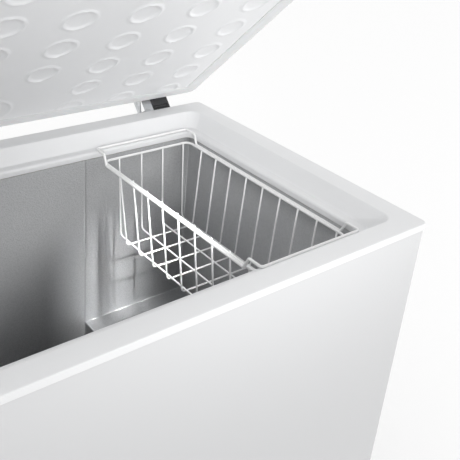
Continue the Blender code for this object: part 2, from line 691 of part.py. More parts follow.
def build_basket_hook(slide):
    """The outer frame wire: beside the ring along the rails, raised at both ends onto the rim's ledge."""
    left, right, front, back = basket_places()
    beside = 2 * RING_WIRE + GAP
    left, right = left - beside, right + beside
    low = RIM_TOP - BASKET_DROP
    high = RIM_TOP - LEDGE_DROP + RING_WIRE + GAP
    near_front, near_back = front + 0.006, back - 0.006
    end_front, end_back = 0.0590, 0.4800
    corners = [
        (0.5 * (left + right), end_front, high), (right, end_front, high),
        (right, near_front + 0.004, high), (right, near_front + 0.012, low),
        (right, near_back - 0.012, low), (right, near_back - 0.004, high),
        (right, end_back, high), (left, end_back, high),
        (left, near_back - 0.004, high), (left, near_back - 0.012, low),
        (left, near_front + 0.012, low), (left, near_front + 0.004, high),
        (left, end_front, high), (0.5 * (left + right) - 0.02, end_front, high),
    ]
    path = rounded_path(corners, 0.004, 2)
    return add_wire_loop("basket_hook_frame", path, RING_WIRE, 6, "white_wire", slide)


def cage_wire(name, a, b, top, bottom, inset_a, inset_b, place, slide):
    """A U of wire hung from the ring: a and b are its tops, and its floor is drawn in at both ends."""
    corners = [place(a, top), place(a + inset_a, bottom), place(b - inset_b, bottom), place(b, top)]
    return add_tube(name, rounded_path(corners, 0.008, 2), CAGE_WIRE, 6, "white_wire", slide)


def build_basket_cage(slide):
    """Cross wires and long wires, welded where they meet, hung inside the ring."""
    left, right, front, back = basket_places()
    inside = RING_WIRE + CAGE_WIRE + GAP
    top = RIM_TOP - BASKET_DROP + RING_WIRE
    bottom = RIM_TOP - BASKET_BOTTOM
    wires = []
    for number in range(CROSS_WIRES):
        y = CROSS_FIRST - CROSS_PITCH * number
        wires.append(cage_wire(f"cross_wire_{number}", left + inside, right - inside, top, bottom,
                               0.018, 0.008, lambda a, z, y=y: (a, y, z), slide))
    for number in range(LONG_WIRES):
        x = right + RING_WIRE - LONG_FIRST - LONG_PITCH * number
        wires.append(cage_wire(f"long_wire_{number}", front + inside, back - inside, top, bottom + 0.0026,
                               0.010, 0.010, lambda a, z, x=x: (x, a, z), slide))
    cage = wires[0]
    cage.name = "basket_cage"
    return combine(cage, wires[CROSS_WIRES:] + wires[1:CROSS_WIRES], "UNION")


def build_basket(root):
    slide = add_empty("basket_slide", (0, 0, 0), root)
    build_basket_ring(slide)
    build_basket_hook(slide)
    build_basket_cage(slide)


# ---- hinges ------------------------------------------------------------------------------------
def hinge_centres():
    return {"left": -HALF + HINGE_FROM_SIDE, "right": HALF - HINGE_FROM_SIDE}


def build_hinge_bracket(side, centre, root):
    """Cabinet half of a hinge: a plate on the back panel with two ears that hold the pin."""
    half = HINGE_WIDTH / 2
    near = BACK_FACE + GAP
    name = f"hinge_bracket_{side}"
    plate = add_box(name, (centre - half, centre + half), (near, near + 0.0016),
                    (PIVOT_Z - 0.090, RIM_TOP - RIM_SKIRT - 0.001), "galvanised", root)
    ears = []
    for sign in (-1, 1):
        outer = centre + sign * half
        inner = outer - sign * 0.0016
        radius = 0.0068
        outline = [(near, PIVOT_Z - 0.085), (near + 0.014, PIVOT_Z - 0.070), (PIVOT_Y + radius, PIVOT_Z)]
        for step in range(1, 9):
            angle = math.radians(180 * step / 8)
            outline.append((PIVOT_Y + radius * math.cos(angle), PIVOT_Z + radius * math.sin(angle)))
        outline.append((PIVOT_Y - radius, RIM_TOP - RIM_SKIRT - 0.001))
        outline.append((near, RIM_TOP - RIM_SKIRT - 0.001))
        ears.append(add_prism(f"{name}_ear_{sign}", outline, "X", min(inner, outer), max(inner, outer),
                              "foam", root))
    combine(plate, ears, "UNION")
    bore = add_turned(name + "_bore_cut", (centre - half - 0.01, PIVOT_Y, PIVOT_Z), "X",
                      ((0, PIN_RADIUS + GAP), (HINGE_WIDTH + 0.02, PIN_RADIUS + GAP)), 16, "foam", root)
    return combine(plate, (bore,), "DIFFERENCE")


def build_hinge_pin(side, centre, root):
    half = HINGE_WIDTH / 2
    profile = ((-half - 0.0026, 0.0042), (-half - 0.0006, 0.0042), (-half - 0.0006, PIN_RADIUS),
               (half + 0.0030, PIN_RADIUS), (half + 0.0036, PIN_RADIUS - 0.0006))
    return add_turned(f"hinge_pin_{side}", (centre, PIVOT_Y, PIVOT_Z), "X", profile, 16, "spring_steel", root)


def build_hinge_sleeve(side, centre, root):
    """A black nylon tube on the pin, inside the spring."""
    half = HINGE_WIDTH / 2 - 0.0060
    profile = ((-half, PIN_RADIUS + GAP), (-half, PIN_RADIUS + 0.0012), (half, PIN_RADIUS + 0.0012),
               (half, PIN_RADIUS + GAP))
    return add_turned_ring(f"hinge_sleeve_{side}", (centre, PIVOT_Y, PIVOT_Z), "X", profile, 12,
                           "black_plastic", root)


def build_hinge_spring(side, centre, root):
    """The torsion spring that carries most of the lid's weight, coiled round the sleeve."""
    half, turns, per_turn = 0.0200, 6, 10
    path = []
    for step in range(turns * per_turn + 1):
        angle = 2 * math.pi * step / per_turn
        x = centre - half + 2 * half * step / (turns * per_turn)
        path.append((x, PIVOT_Y + 0.0048 * math.cos(angle), PIVOT_Z + 0.0048 * math.sin(angle)))
    return add_tube(f"hinge_spring_{side}", path, 0.0007, 5, "spring_steel", root)


def build_hinge_lid_bracket(side, centre, lid):
    """Lid half of a hinge: a plate on the lid's back, its inner third let down, and two cheeks on the pin."""
    half = HINGE_WIDTH / 2 - 0.0016 - 0.0004
    near = LID_BACK + GAP
    name = f"hinge_lid_bracket_{side}"
    plate = add_box(name, (centre - half, centre + half), (near, near + 0.0014),
                    (LID_BOTTOM + 0.002, LID_BOTTOM + 0.034), "galvanised", lid)
    inner_end = centre - half * math.copysign(1, centre)
    third = inner_end + math.copysign(HINGE_THIRD, centre)
    joined = [add_box(name + "_third", (inner_end, third), (near, near + 0.0014),
                      (PIVOT_Z + COVER_LOW, LID_BOTTOM + 0.010), "foam", lid)]
    for sign in (-1, 1):
        outer = centre + sign * half
        inner = outer - sign * 0.0016
        radius = 0.0066
        outline = [(near, LID_BOTTOM + 0.034), (near, LID_BOTTOM + 0.002)]
        for step in range(9):
            angle = math.radians(140 + 220 * step / 8)
            outline.append((PIVOT_Y + radius * math.cos(angle), PIVOT_Z + radius * math.sin(angle)))
        outline.append((PIVOT_Y + radius, LID_BOTTOM + 0.010))
        joined.append(add_prism(f"{name}_cheek_{sign}", outline, "X", min(inner, outer), max(inner, outer),
                                "foam", lid))
    combine(plate, joined, "UNION")
    bore = add_turned(name + "_bore_cut", (centre - half - 0.01, PIVOT_Y, PIVOT_Z), "X",
                      ((0, PIN_RADIUS + GAP), (HINGE_WIDTH + 0.02, PIN_RADIUS + GAP)), 16, "foam", lid)
    return combine(plate, (bore,), "DIFFERENCE")


def build_hinge_cover(side, centre, lid):
    """The black cover between the cheeks, over the spring's end and behind the plate's open part."""
    half = HINGE_WIDTH / 2 - 0.0016 - 0.0004 - 0.0016 - GAP
    outward = math.copysign(1, centre)
    near_end = centre - half * outward + (HINGE_THIRD - 0.0016) * outward
    near = LID_BACK + GAP + 0.0014 + GAP
    cover = add_box(f"hinge_cover_{side}", (near_end, centre + half * outward), (near, near + 0.0090),
                    (PIVOT_Z + COVER_LOW, LID_BOTTOM + 0.026), "black_plastic", lid, bevel=0.0010)
    slots = []
    for number in range(2):
        z = PIVOT_Z + COVER_LOW + 0.0030 + 0.0046 * number
        slots.append(add_box(f"hinge_cover_{side}_slot_{number}", (near_end + 0.003 * outward,
                             centre + (half - 0.003) * outward), (near - 0.002, near + 0.0030),
                             (z, z + 0.0026), "foam", lid))
    return combine(cover, slots, "DIFFERENCE")


# ---- lid ---------------------------------------------------------------------------------------
def lid_loop(inset, z, radius):
    return rectangle_loop((-LID_X + inset, LID_X - inset), (LID_FRONT + inset, LID_BACK - inset), radius, z)


def build_lid_outer_panel(lid):
    """A steel pan, open below, with a round top edge and a folded lip for the gasket."""
    corner, steps = LID_CORNER, 4
    lip = 0.0100
    outside = [lid_loop(0.0, LID_BOTTOM, corner)]
    inside = [lid_loop(SHEET, LID_BOTTOM + SHEET, corner - SHEET)]
    for step in range(steps + 1):
        angle = math.radians(90 * step / steps)
        inset = corner * (1 - math.cos(angle))
        rise = corner * math.sin(angle)
        outside.append(lid_loop(inset, LID_TOP - corner + rise, corner - inset * 0.6))
        reach = (corner - SHEET) / corner
        inside.append(lid_loop(SHEET + inset * reach, LID_TOP - corner + rise * reach,
                               corner - SHEET - inset * 0.6))
    lips = [lid_loop(lip, LID_BOTTOM + SHEET, 0.008), lid_loop(lip, LID_BOTTOM, 0.008)]
    loops = inside[::-1] + lips + outside
    return add_mesh("lid_outer_panel", *skin(loops), "white_steel", lid, smooth=True)


def build_lid_foam(lid):
    """The foam of the lid, which fills its pan and the hollow behind the lining's field."""
    low, high = LID_BOTTOM + 0.0060, LID_TOP - SHEET - GAP
    loops = [
        lid_loop(0.0460 + GAP, LINING_LOW + LINING_THICK + GAP, 0.014),
        lid_loop(0.0440 + GAP, low, 0.015),
        lid_loop(SHEET + GAP, low, 0.012),
        lid_loop(SHEET + GAP, high - 0.014, 0.012),
        lid_loop(SHEET + GAP + 0.005, high - 0.004, 0.009),
        lid_loop(SHEET + GAP + 0.014, high, 0.004),
    ]
    return add_mesh("lid_foam", *skin(loops), "foam", lid)


def build_lid_inner_panel(lid):
    """The moulded lining of the lid: a flange for the gasket and, inside it, a field let down past the
    gasket's face, hollow behind."""
    top = LID_BOTTOM + 0.0057
    flange = LID_BOTTOM + SHEET + GAP
    loops = [
        lid_loop(0.0460, LINING_LOW + LINING_THICK, 0.014),
        lid_loop(0.0440, top, 0.015),
        lid_loop(0.0020, top, 0.010),
        lid_loop(0.0020, flange, 0.010),
        lid_loop(0.0370, flange, 0.020),
        lid_loop(0.0400, LINING_LOW, 0.019),
    ]
    return add_mesh("lid_inner_panel", *skin(loops), "lid_plastic", lid)


def build_lid_gasket(lid):
    """The magnetic seal: a soft hollow-looking strip between the lid's lip and the rim."""
    low, high = RIM_TOP + GAP, LID_BOTTOM - GAP
    section = ((0.0080, low), (0.0290, low), (0.0310, low + 0.004), (0.0310, high), (0.0105, high),
               (0.0065, low + 0.004))
    loops = [lid_loop(inset, z, 0.012) for inset, z in section]
    return add_mesh("lid_gasket", *skin(loops, closed=True), "gasket_grey", lid)


def build_lid_handle(lid):
    """A moulded pull on the front of the lid: a top web and a lip with room for fingers behind it."""
    face = LID_FRONT - GAP
    top, low = LID_BOTTOM + 0.034, LID_BOTTOM - 0.004
    outline = [
        (face, top), (face - 0.014, top), (face - 0.022, top - 0.006), (face - 0.024, top - 0.012),
        (face - 0.024, low), (face - 0.0205, low), (face - 0.0205, top - 0.012),
        (face - 0.0180, top - 0.0085), (face, top - 0.0085),
    ]
    return add_prism("lid_handle", outline, "X", -0.100, 0.100, "white_plastic", lid)


def build_lid(root):
    """The lid's pieces, written closed and carried by the hinge's empty."""
    hinge = add_empty("lid_hinge", (0, PIVOT_Y, PIVOT_Z), root)
    hinge.rotation_euler = (-OPEN, 0, 0)
    closed = add_empty("lid_closed_frame", (0, -PIVOT_Y, -PIVOT_Z), hinge)
    build_lid_outer_panel(closed)
    build_lid_foam(closed)
    build_lid_inner_panel(closed)
    build_lid_gasket(closed)
    build_lid_handle(closed)
    for side, centre in hinge_centres().items():
        build_hinge_lid_bracket(side, centre, closed)
        build_hinge_cover(side, centre, closed)


def build_cabinet(root):
    build_outer_wrapper(root)
    build_back_panel(root)
    build_base_pan(root)
    build_inner_liner(root)
    build_foam(root)
    build_top_rim(root)
    build_feet(root)
    build_evaporator_coil(root)
    build_condenser_coil(root)
    build_compressor(root)
    build_start_relay(root)
    build_refrigerant_lines(root)
    build_side_vent(root)
    build_machine_room_cover(root)
    build_controls(root)
    build_thermostat_knob(root)
    build_drain(root)
    for side, centre in hinge_centres().items():
        build_hinge_bracket(side, centre, root)
        build_hinge_pin(side, centre, root)
        build_hinge_sleeve(side, centre, root)
        build_hinge_spring(side, centre, root)


def main():
    clear_scene()
    root = add_empty("freezer_origin", (0, -MIDDLE_Y, 0))
    build_cabinet(root)
    build_basket(root)
    build_lid(root)


main()
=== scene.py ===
import functools
import json
import math

import bmesh
import bpy
import numpy as np
from bpy.props import FloatProperty, FloatVectorProperty, IntProperty, PointerProperty
from mathutils import Matrix, Vector


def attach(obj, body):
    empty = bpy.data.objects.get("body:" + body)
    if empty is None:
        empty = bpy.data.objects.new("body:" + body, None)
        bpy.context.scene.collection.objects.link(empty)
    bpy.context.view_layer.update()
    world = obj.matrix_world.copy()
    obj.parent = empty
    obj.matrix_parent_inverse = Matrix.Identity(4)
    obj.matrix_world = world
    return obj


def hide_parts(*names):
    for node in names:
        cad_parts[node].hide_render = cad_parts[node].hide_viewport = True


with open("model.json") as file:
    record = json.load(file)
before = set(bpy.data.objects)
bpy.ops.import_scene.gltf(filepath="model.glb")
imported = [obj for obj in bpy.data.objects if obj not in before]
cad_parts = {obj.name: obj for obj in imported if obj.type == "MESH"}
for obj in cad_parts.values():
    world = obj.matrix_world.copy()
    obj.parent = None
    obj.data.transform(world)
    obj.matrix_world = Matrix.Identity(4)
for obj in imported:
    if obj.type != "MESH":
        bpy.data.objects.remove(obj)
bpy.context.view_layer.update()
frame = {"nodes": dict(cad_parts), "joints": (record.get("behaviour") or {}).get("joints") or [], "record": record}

bl_info = {
    "name": "Chest freezer surfaces",
    "version": (1, 0, 0),
    "blender": (4, 5, 0),
    "location": "3D View > Sidebar > Freezer",
    "description": "Fine surfaces, finishes and studio for the chest freezer's frame",
    "category": "Object",
}

NODES = frame["nodes"]


# ---- measures taken from the frame ----
def points_of(node):
    """The node's vertices as one array of rows (x, y, z)."""
    mesh = NODES[node].data
    values = np.empty(len(mesh.vertices) * 3, np.float32)
    mesh.vertices.foreach_get("co", values)
    return values.reshape(-1, 3).astype(float)


def corners(node):
    points = points_of(node)
    return points.min(axis=0), points.max(axis=0)


def levels(node, axis):
    """The different coordinates that the node's vertices have along one axis, lowest first."""
    return np.unique(np.round(points_of(node)[:, axis], 4))


def joint(name):
    return next(entry for entry in frame["joints"] if entry["name"] == name)


LID_PIVOT = np.array(joint("lid_hinge")["pos_m"], float)
LID_ANGLE = -math.radians(joint("lid_hinge")["range_deg"][0])


def turn_lid(points, angle):
    """Points turned about the hinge pin: (y, z) away from the pin rotate so that the front rises."""
    away = points - LID_PIVOT
    cos, sin = math.cos(angle), math.sin(angle)
    y = away[..., 1] * cos + away[..., 2] * sin
    z = away[..., 2] * cos - away[..., 1] * sin
    return np.stack([away[..., 0], y, z], axis=-1) + LID_PIVOT


def closed_corners(node):
    """The box of a lid node when the lid is shut."""
    points = turn_lid(points_of(node), -LID_ANGLE)
    return points.min(axis=0), points.max(axis=0)


# ---- surfaces as whole arrays ----
def unit(vectors):
    return vectors / np.linalg.norm(vectors, axis=-1, keepdims=True)


def grid_faces(rows, columns, wrap_rows=False, wrap_columns=False):
    """Quads of a grid of points: (i, j), (i, j+1), (i+1, j+1), (i+1, j); a wrapped side meets its start."""
    i = np.arange(rows if wrap_rows else rows - 1)[:, None]
    j = np.arange(columns if wrap_columns else columns - 1)[None, :]
    below, beside = (i + 1) % rows, (j + 1) % columns
    quads = [i * columns + j, i * columns + beside, below * columns + beside, below * columns + j]
    return np.stack(quads, axis=-1).reshape(-1, 4)


def barrel_faces(rows, columns):
    """A grid of quads wrapped round its columns, its first row and its last row each closed by one face."""
    caps = [list(range(columns)), list(range((rows - 1) * columns, rows * columns))]
    return grid_faces(rows, columns, False, True).tolist() + caps


def round_corners(outline, radius, steps=6, closed=True):
    """A polyline with arcs at its corners. Each arc touches both sides at radius / tan(half the corner's
    angle) from the corner, and turns about the centre at radius / sin(half the angle) on the bisector."""
    points = np.asarray(outline, float)
    corner = points if closed else points[1:-1]
    before = unit((np.roll(points, 1, 0) if closed else points[:-2]) - corner)
    after = unit((np.roll(points, -1, 0) if closed else points[2:]) - corner)
    half = np.arccos(np.clip((before * after).sum(-1), -1, 1)) / 2
    size = np.broadcast_to(np.asarray(radius, float), half.shape)
    centre = corner + unit(before + after) * (size / np.sin(half))[:, None]
    first = corner + before * (size / np.tan(half))[:, None] - centre
    last = corner + after * (size / np.tan(half))[:, None] - centre
    turn = (math.pi - 2 * half)[:, None, None]
    share = np.linspace(0, 1, steps)[None, :, None]
    spokes = np.sin((1 - share) * turn) * first[:, None] + np.sin(share * turn) * last[:, None]
    arcs = (centre[:, None] + spokes / np.sin(turn)).reshape(-1, points.shape[1])
    return arcs if closed else np.concatenate([points[:1], arcs, points[-1:]])


def tube(path, radius, sides, across, closed=False):
    """A round wire: point = path + radius (cos a side + sin a up), where side is square to the path and
    to the direction across, and up is square to both. An open wire's ends shrink to a small flat cap."""
    path = np.asarray(path, float)
    if closed:
        ahead = unit(np.roll(path, -1, 0) - np.roll(path, 1, 0))
    else:
        ahead = unit(np.gradient(path, axis=0))
        tip = radius * 0.45
        path = np.concatenate([path[:1] - ahead[:1] * tip, path, path[-1:] + ahead[-1:] * tip])
        ahead = np.concatenate([ahead[:1], ahead, ahead[-1:]])
    size = np.full(len(path), radius)
    if not closed:
        size[[0, -1]] = radius * 0.6
    side = unit(np.cross(ahead, across))
    up = np.cross(side, ahead)
    angle = (np.arange(sides) * 2 * math.pi / sides)[None, :, None]
    ring = np.cos(angle) * side[:, None] + np.sin(angle) * up[:, None]
    points = path[:, None] + size[:, None, None] * ring
    if closed:
        return points.reshape(-1, 3), grid_faces(len(path), sides, True, True).tolist()
    return points.reshape(-1, 3), barrel_faces(len(path), sides)


def moulding(section, low, high, radius, front_shift=0.0, steps=10):
    """A moulding round a rectangle. Row i is the rectangle drawn in by the section's inset i, at its
    height; a column's point is the corner's centre + radius (cos a, sin a), a quarter turn per corner."""
    inset, height = np.asarray(section, float).T[..., None]
    radius = np.broadcast_to(np.asarray(radius, float).reshape(-1, 1), inset.shape)
    shift = np.broadcast_to(np.asarray(front_shift, float).reshape(-1, 1), inset.shape)
    quarter = np.linspace(0, math.pi / 2, steps)
    angle = np.concatenate([quarter + turn * math.pi / 2 for turn in range(4)])[None, :]
    right = np.repeat([True, False, False, True], steps)[None, :]
    back = np.repeat([True, True, False, False], steps)[None, :]
    reach = inset + radius
    x = np.where(right, high[0] - reach, low[0] + reach) + radius * np.cos(angle)
    y = np.where(back, high[1] - reach, low[1] + reach - shift) + radius * np.sin(angle)
    z = np.broadcast_to(height, x.shape)
    return np.stack([x, y, z], axis=-1)


def turned(profile, base, axis, sides=48):
    """A turned piece: point = base + height along the axis + radius (cos a u + sin a v). Both ends close."""
    height, radius = np.asarray(profile, float).T
    axis = np.asarray(axis, float)
    u = np.roll(axis, 1)
    v = np.cross(axis, u)
    angle = (np.arange(sides) * 2 * math.pi / sides)[None, :, None]
    ring = np.cos(angle) * u + np.sin(angle) * v
    points = np.asarray(base) + height[:, None, None] * axis + radius[:, None, None] * ring
    return points.reshape(-1, 3), barrel_faces(len(height), sides)


def joined(shells):
    """Several closed shells as one list of points and one of faces."""
    offset, points, faces = 0, [], []
    for shell_points, shell_faces in shells:
        points.append(np.asarray(shell_points).reshape(-1, 3))
        faces += [[index + offset for index in face] for face in shell_faces]
        offset += len(points[-1])
    return np.concatenate(points), faces


def add_piece(name, points, faces, slot, body, replaced=(), crease=38.0):
    """Puts a closed surface into a mesh object, its faces turned outwards, and ties it to the frame."""
    mesh = bpy.data.meshes.new(name)
    mesh.from_pydata(np.asarray(points).reshape(-1, 3).tolist(), [], [list(face) for face in faces])
    work = bmesh.new()
    work.from_mesh(mesh)
    bmesh.ops.remove_doubles(work, verts=work.verts, dist=1e-6)
    bmesh.ops.recalc_face_normals(work, faces=work.faces)
    work.to_mesh(mesh)
    work.free()
    mesh.shade_smooth()
    mesh.set_sharp_from_angle(angle=math.radians(crease))
    piece = bpy.data.objects.new(name, mesh)
    bpy.context.scene.collection.objects.link(piece)
    piece.data.materials.append(material_of(slot))
    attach(piece, body)
    if replaced:
        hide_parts(*replaced)
    return piece


# ---- shader maths ----
class Number:
    """A shader value. Each + - * or abs() on it adds one Math node to its finish."""

    def __init__(self, finish, socket):
        self.finish, self.socket = finish, socket

    def maths(self, operation, *values):
        return self.finish.number("ShaderNodeMath", {"operation": operation}, values)

    def __add__(self, other):
        return self.maths("ADD", self, other)

    def __radd__(self, other):
        return self.maths("ADD", other, self)

    def __sub__(self, other):
        return self.maths("SUBTRACT", self, other)

    def __rsub__(self, other):
        return self.maths("SUBTRACT", other, self)

    def __mul__(self, other):
        return self.maths("MULTIPLY", self, other)

    def __rmul__(self, other):
        return self.maths("MULTIPLY", other, self)

    def __abs__(self):
        return self.maths("ABSOLUTE", self)

    def between(self, low, high):
        """0 below low and 1 above high, with a smooth rise from one to the other."""
        settings = {"interpolation_type": "SMOOTHSTEP"}
        return self.finish.number("ShaderNodeMapRange", settings, (self, low, high, 0.0, 1.0))


class Finish:
    """One material: a Principled shader and the nodes that feed it, read in Object coordinates."""

    def __init__(self, name, base, **constants):
        self.material = bpy.data.materials.new(name)
        self.material.use_nodes = True
        self.tree = self.material.node_tree
        self.shader = self.tree.nodes["Principled BSDF"]
        self.shader.inputs["Base Color"].default_value = (*base, 1)
        for socket, value in constants.items():
            self.shader.inputs[socket.replace("_", " ")].default_value = value
        self.base = base
        self.place = self.node("ShaderNodeTexCoord").outputs["Object"]
        self.normal = None

    def node(self, kind, settings=None, values=()):
        """Adds one node, makes its settings, then gives its inputs their values or links."""
        made = self.tree.nodes.new(kind)
        for key, value in (settings or {}).items():
            setattr(made, key, value)
        pairs = values.items() if isinstance(values, dict) else enumerate(values)
        for key, value in pairs:
            value = value.socket if isinstance(value, Number) else value
            if isinstance(value, bpy.types.NodeSocket):
                self.tree.links.new(value, made.inputs[key])
            else:
                made.inputs[key].default_value = value
        return made

    def number(self, kind, settings=None, values=(), output=0):
        return Number(self, self.node(kind, settings, values).outputs[output])

    def stretched(self, x=1.0, y=1.0, z=1.0):
        """Object coordinates with each axis scaled, for a pattern that is longer one way."""
        values = {"Vector": self.place, "Scale": (x, y, z)}
        return self.node("ShaderNodeMapping", {"vector_type": "POINT"}, values).outputs[0]

    def noise(self, scale, detail=2.0, roughness=0.5, place=None):
        values = {"Vector": place or self.place, "Scale": scale, "Detail": detail, "Roughness": roughness}
        return self.number("ShaderNodeTexNoise", None, values)

    def cells(self, scale, feature="F1", output=0):
        values = {"Vector": self.place, "Scale": scale}
        return self.number("ShaderNodeTexVoronoi", {"feature": feature}, values, output)

    def axis(self, index):
        """One of the object's coordinates: 0 is x, 1 is y and 2 is z."""
        return self.number("ShaderNodeSeparateXYZ", None, (self.place,), index)

    def line(self, coordinate, at, width):
        """1 along the plane where the coordinate is at, falling to 0 over the width on both sides."""
        return 1 - abs(coordinate - at).between(0.0, width)

    def feed(self, socket, value):
        source = value.socket if isinstance(value, Number) else value
        self.tree.links.new(source, self.shader.inputs[socket])

    def tint(self, share, other):
        """The base colour mixed towards another by the share, over whatever was mixed before."""
        current = self.shader.inputs["Base Color"]
        first = current.links[0].from_socket if current.links else (*self.base, 1)
        values = {0: share, 6: first, 7: (*other, 1)}
        mixed = self.node("ShaderNodeMix", {"data_type": "RGBA"}, values)
        self.feed("Base Color", mixed.outputs[2])

    def raise_by(self, height, distance, strength=1.0):
        """Adds a bump of this height field, in metres at 1, on top of the bumps before it."""
        values = {"Height": height, "Distance": distance, "Strength": strength}
        if self.normal:
            values["Normal"] = self.normal
        self.normal = self.node("ShaderNodeBump", None, values).outputs[0]
        self.feed("Normal", self.normal)


def shade(colour, factor):
    return tuple(min(value * factor, 1.0) for value in colour)


def white_steel(colours):
    """Powder-painted steel: fine orange peel, a faint drift of tone, and patches darker towards the floor."""
    finish = Finish("painted white steel", colours.cabinet_paint, Roughness=0.3, Coat_Weight=0.25,
                    Coat_Roughness=0.12)
    finish.raise_by(finish.noise(420, 2, 0.55), 0.00016)
    finish.raise_by(finish.noise(5.5, 1), 0.0012, 0.25)
    finish.tint(finish.noise(3.0, 3) * 0.35, shade(colours.cabinet_paint, 0.965))
    low = 1 - finish.axis(2).between(0.03, 0.16)
    finish.tint(low * finish.noise(60, 4, 0.7).between(0.45, 0.8) * 0.3, shade(colours.cabinet_paint, 0.8))
    finish.feed("Roughness", 0.27 + 0.1 * finish.noise(32, 4, 0.6))
    return finish


def white_plastic(colours):
    """Vacuum-formed ABS: satin, with a very fine grain and slight flow marks."""
    finish = Finish("moulded white plastic", colours.rim_plastic, Roughness=0.42, IOR=1.5)
    finish.raise_by(finish.noise(1400, 2, 0.6), 0.00005)
    finish.raise_by(finish.noise(18, 2, 0.5, finish.stretched(0.35, 0.35, 1)), 0.0005, 0.3)
    finish.tint(finish.noise(7, 3) * 0.4, shade(colours.rim_plastic, 0.97))
    finish.feed("Roughness", 0.36 + 0.12 * finish.noise(90, 3, 0.6))
    return finish


def lid_plastic(colours):
    """The lid's formed lining: thin polystyrene, glossier, softly uneven, with one faint drawn crease."""
    crease_x, crease_width = 0.197, 0.006
    finish = Finish("formed lid plastic", colours.lid_plastic, Roughness=0.34, IOR=1.55)
    finish.raise_by(finish.noise(950, 2, 0.6), 0.00004)
    finish.raise_by(finish.noise(9, 2), 0.0014, 0.35)
    crease = finish.line(finish.axis(0), crease_x, crease_width) * finish.noise(14, 2).between(0.3, 0.6)
    finish.raise_by(crease, 0.0004, 0.6)
    finish.tint(finish.noise(5, 3) * 0.5, shade(colours.lid_plastic, 0.955))
    finish.feed("Roughness", 0.3 + 0.12 * finish.noise(40, 3, 0.6))
    return finish


def gasket_grey(colours):
    """Soft magnetic seal in white PVC: matt and faintly mottled."""
    finish = Finish("soft seal", colours.seal, Roughness=0.6, Subsurface_Weight=0.05)
    finish.raise_by(finish.noise(600, 3, 0.6), 0.00006)
    finish.tint(finish.noise(25, 4, 0.6).between(0.35, 0.75) * 0.3, shade(colours.seal, 0.88))
    finish.feed("Roughness", 0.52 + 0.18 * finish.noise(120, 3))
    return finish


def liner_aluminium(colours):
    """Stucco-embossed aluminium: rounded stucco bumps about 2 mm across, wavy as thin sheet is, with a
    raised line at the step's edge where two sheets lie one over the other. Painted shade darkens the borders
    between the stucco cells and the plane of the step's wall: the whole left wall of the step and a thin band
    on the walls it meets."""
    finish = Finish("stucco aluminium", colours.liner, Metallic=0.72, Roughness=0.45)
    warped = finish.noise(330, 2, 0.5)
    pebbles_and_crease_shade = finish.cells(620, "SMOOTH_F1") * 0.7 + warped * 0.5
    finish.raise_by(finish.noise(6, 2, 0.5, finish.stretched(1, 1, 0.4)), 0.0020, 0.35)
    finish.raise_by(pebbles_and_crease_shade, 0.00085, 0.7)
    edge = float(levels("inner_liner", 0)[-3])
    seam_and_step_shade = finish.line(finish.axis(0), edge, 0.0030)
    finish.raise_by(seam_and_step_shade, 0.0006, 0.8)
    # painted shade: the plane of the step's wall is darkened, which is the whole left wall of the step and a thin
    # band where it meets the other walls
    finish.tint(seam_and_step_shade * 0.55, shade(colours.liner, 0.6))
    # painted shade: the borders between the stucco cells are darkened, standing in for shade in the creases
    finish.tint(pebbles_and_crease_shade.between(0.35, 0.75) * 0.45, shade(colours.liner, 0.72))
    finish.feed("Roughness", 0.43 + 0.14 * finish.noise(260, 3, 0.6))
    return finish


def foam(colours):
    """Rigid polyurethane foam with open cut cells."""
    finish = Finish("rigid foam", (0.86, 0.76, 0.5), Roughness=0.92)
    finish.raise_by(finish.cells(700), 0.0006)
    finish.tint(finish.noise(30, 4, 0.7) * 0.6, (0.7, 0.55, 0.3))
    finish.feed("Roughness", 0.86 + 0.1 * finish.noise(200, 2))
    return finish


def galvanised(colours):
    """Zinc-coated steel: spangle of flat crystals, each with its own tone and gloss, and white bloom."""
    finish = Finish("galvanised steel", colours.zinc, Metallic=1.0, Roughness=0.4)
    crystal = finish.number("ShaderNodeSeparateColor", None, (finish.cells(110, "F1", 1),))
    finish.tint(crystal.between(0.1, 0.9) * 0.6, shade(colours.zinc, 0.72))
    finish.tint(finish.noise(16, 4, 0.65).between(0.5, 0.8) * 0.35, (0.8, 0.8, 0.8))
    finish.raise_by(crystal, 0.0001, 0.5)
    finish.raise_by(finish.noise(900, 3, 0.6), 0.00005)
    finish.feed("Roughness", 0.32 + 0.2 * crystal)
    return finish


def spring_steel(colours):
    """Bright drawn steel with fine draw lines and a little oil staining."""
    finish = Finish("bright steel", (0.62, 0.62, 0.63), Metallic=1.0, Roughness=0.25)
    lines = finish.noise(1200, 2, 0.5, finish.stretched(0.05, 1, 1))
    finish.raise_by(lines, 0.00004)
    finish.tint(finish.noise(80, 3).between(0.5, 0.8) * 0.4, (0.36, 0.34, 0.31))
    finish.feed("Roughness", 0.18 + 0.2 * lines)
    return finish


def black_enamel(colours):
    """Thick black enamel over pressed steel, with runs and dust."""
    finish = Finish("black enamel", (0.018, 0.018, 0.02), Roughness=0.3, Coat_Weight=0.4)
    finish.raise_by(finish.noise(120, 3, 0.6), 0.0005, 0.6)
    finish.tint(finish.noise(40, 4, 0.7).between(0.5, 0.85) * 0.35, (0.09, 0.085, 0.08))
    finish.feed("Roughness", 0.25 + 0.3 * finish.noise(60, 4, 0.6))
    return finish


def black_plastic(colours):
    """Glass-filled black nylon with a fine spark-eroded grain."""
    finish = Finish("black nylon", (0.028, 0.028, 0.03), Roughness=0.5)
    finish.raise_by(finish.cells(1500), 0.00012)
    finish.tint(finish.noise(150, 3) * 0.4, (0.05, 0.05, 0.052))
    finish.feed("Roughness", 0.42 + 0.16 * finish.noise(300, 3))
    return finish


def black_rubber(colours):
    """Matt black rubber with bloom and dust."""
    finish = Finish("black rubber", (0.02, 0.02, 0.02), Roughness=0.8)
    finish.raise_by(finish.noise(700, 3, 0.6), 0.00015)
    finish.tint(finish.noise(50, 4, 0.7).between(0.45, 0.8) * 0.4, (0.07, 0.068, 0.065))
    finish.feed("Roughness", 0.7 + 0.2 * finish.noise(130, 3))
    return finish


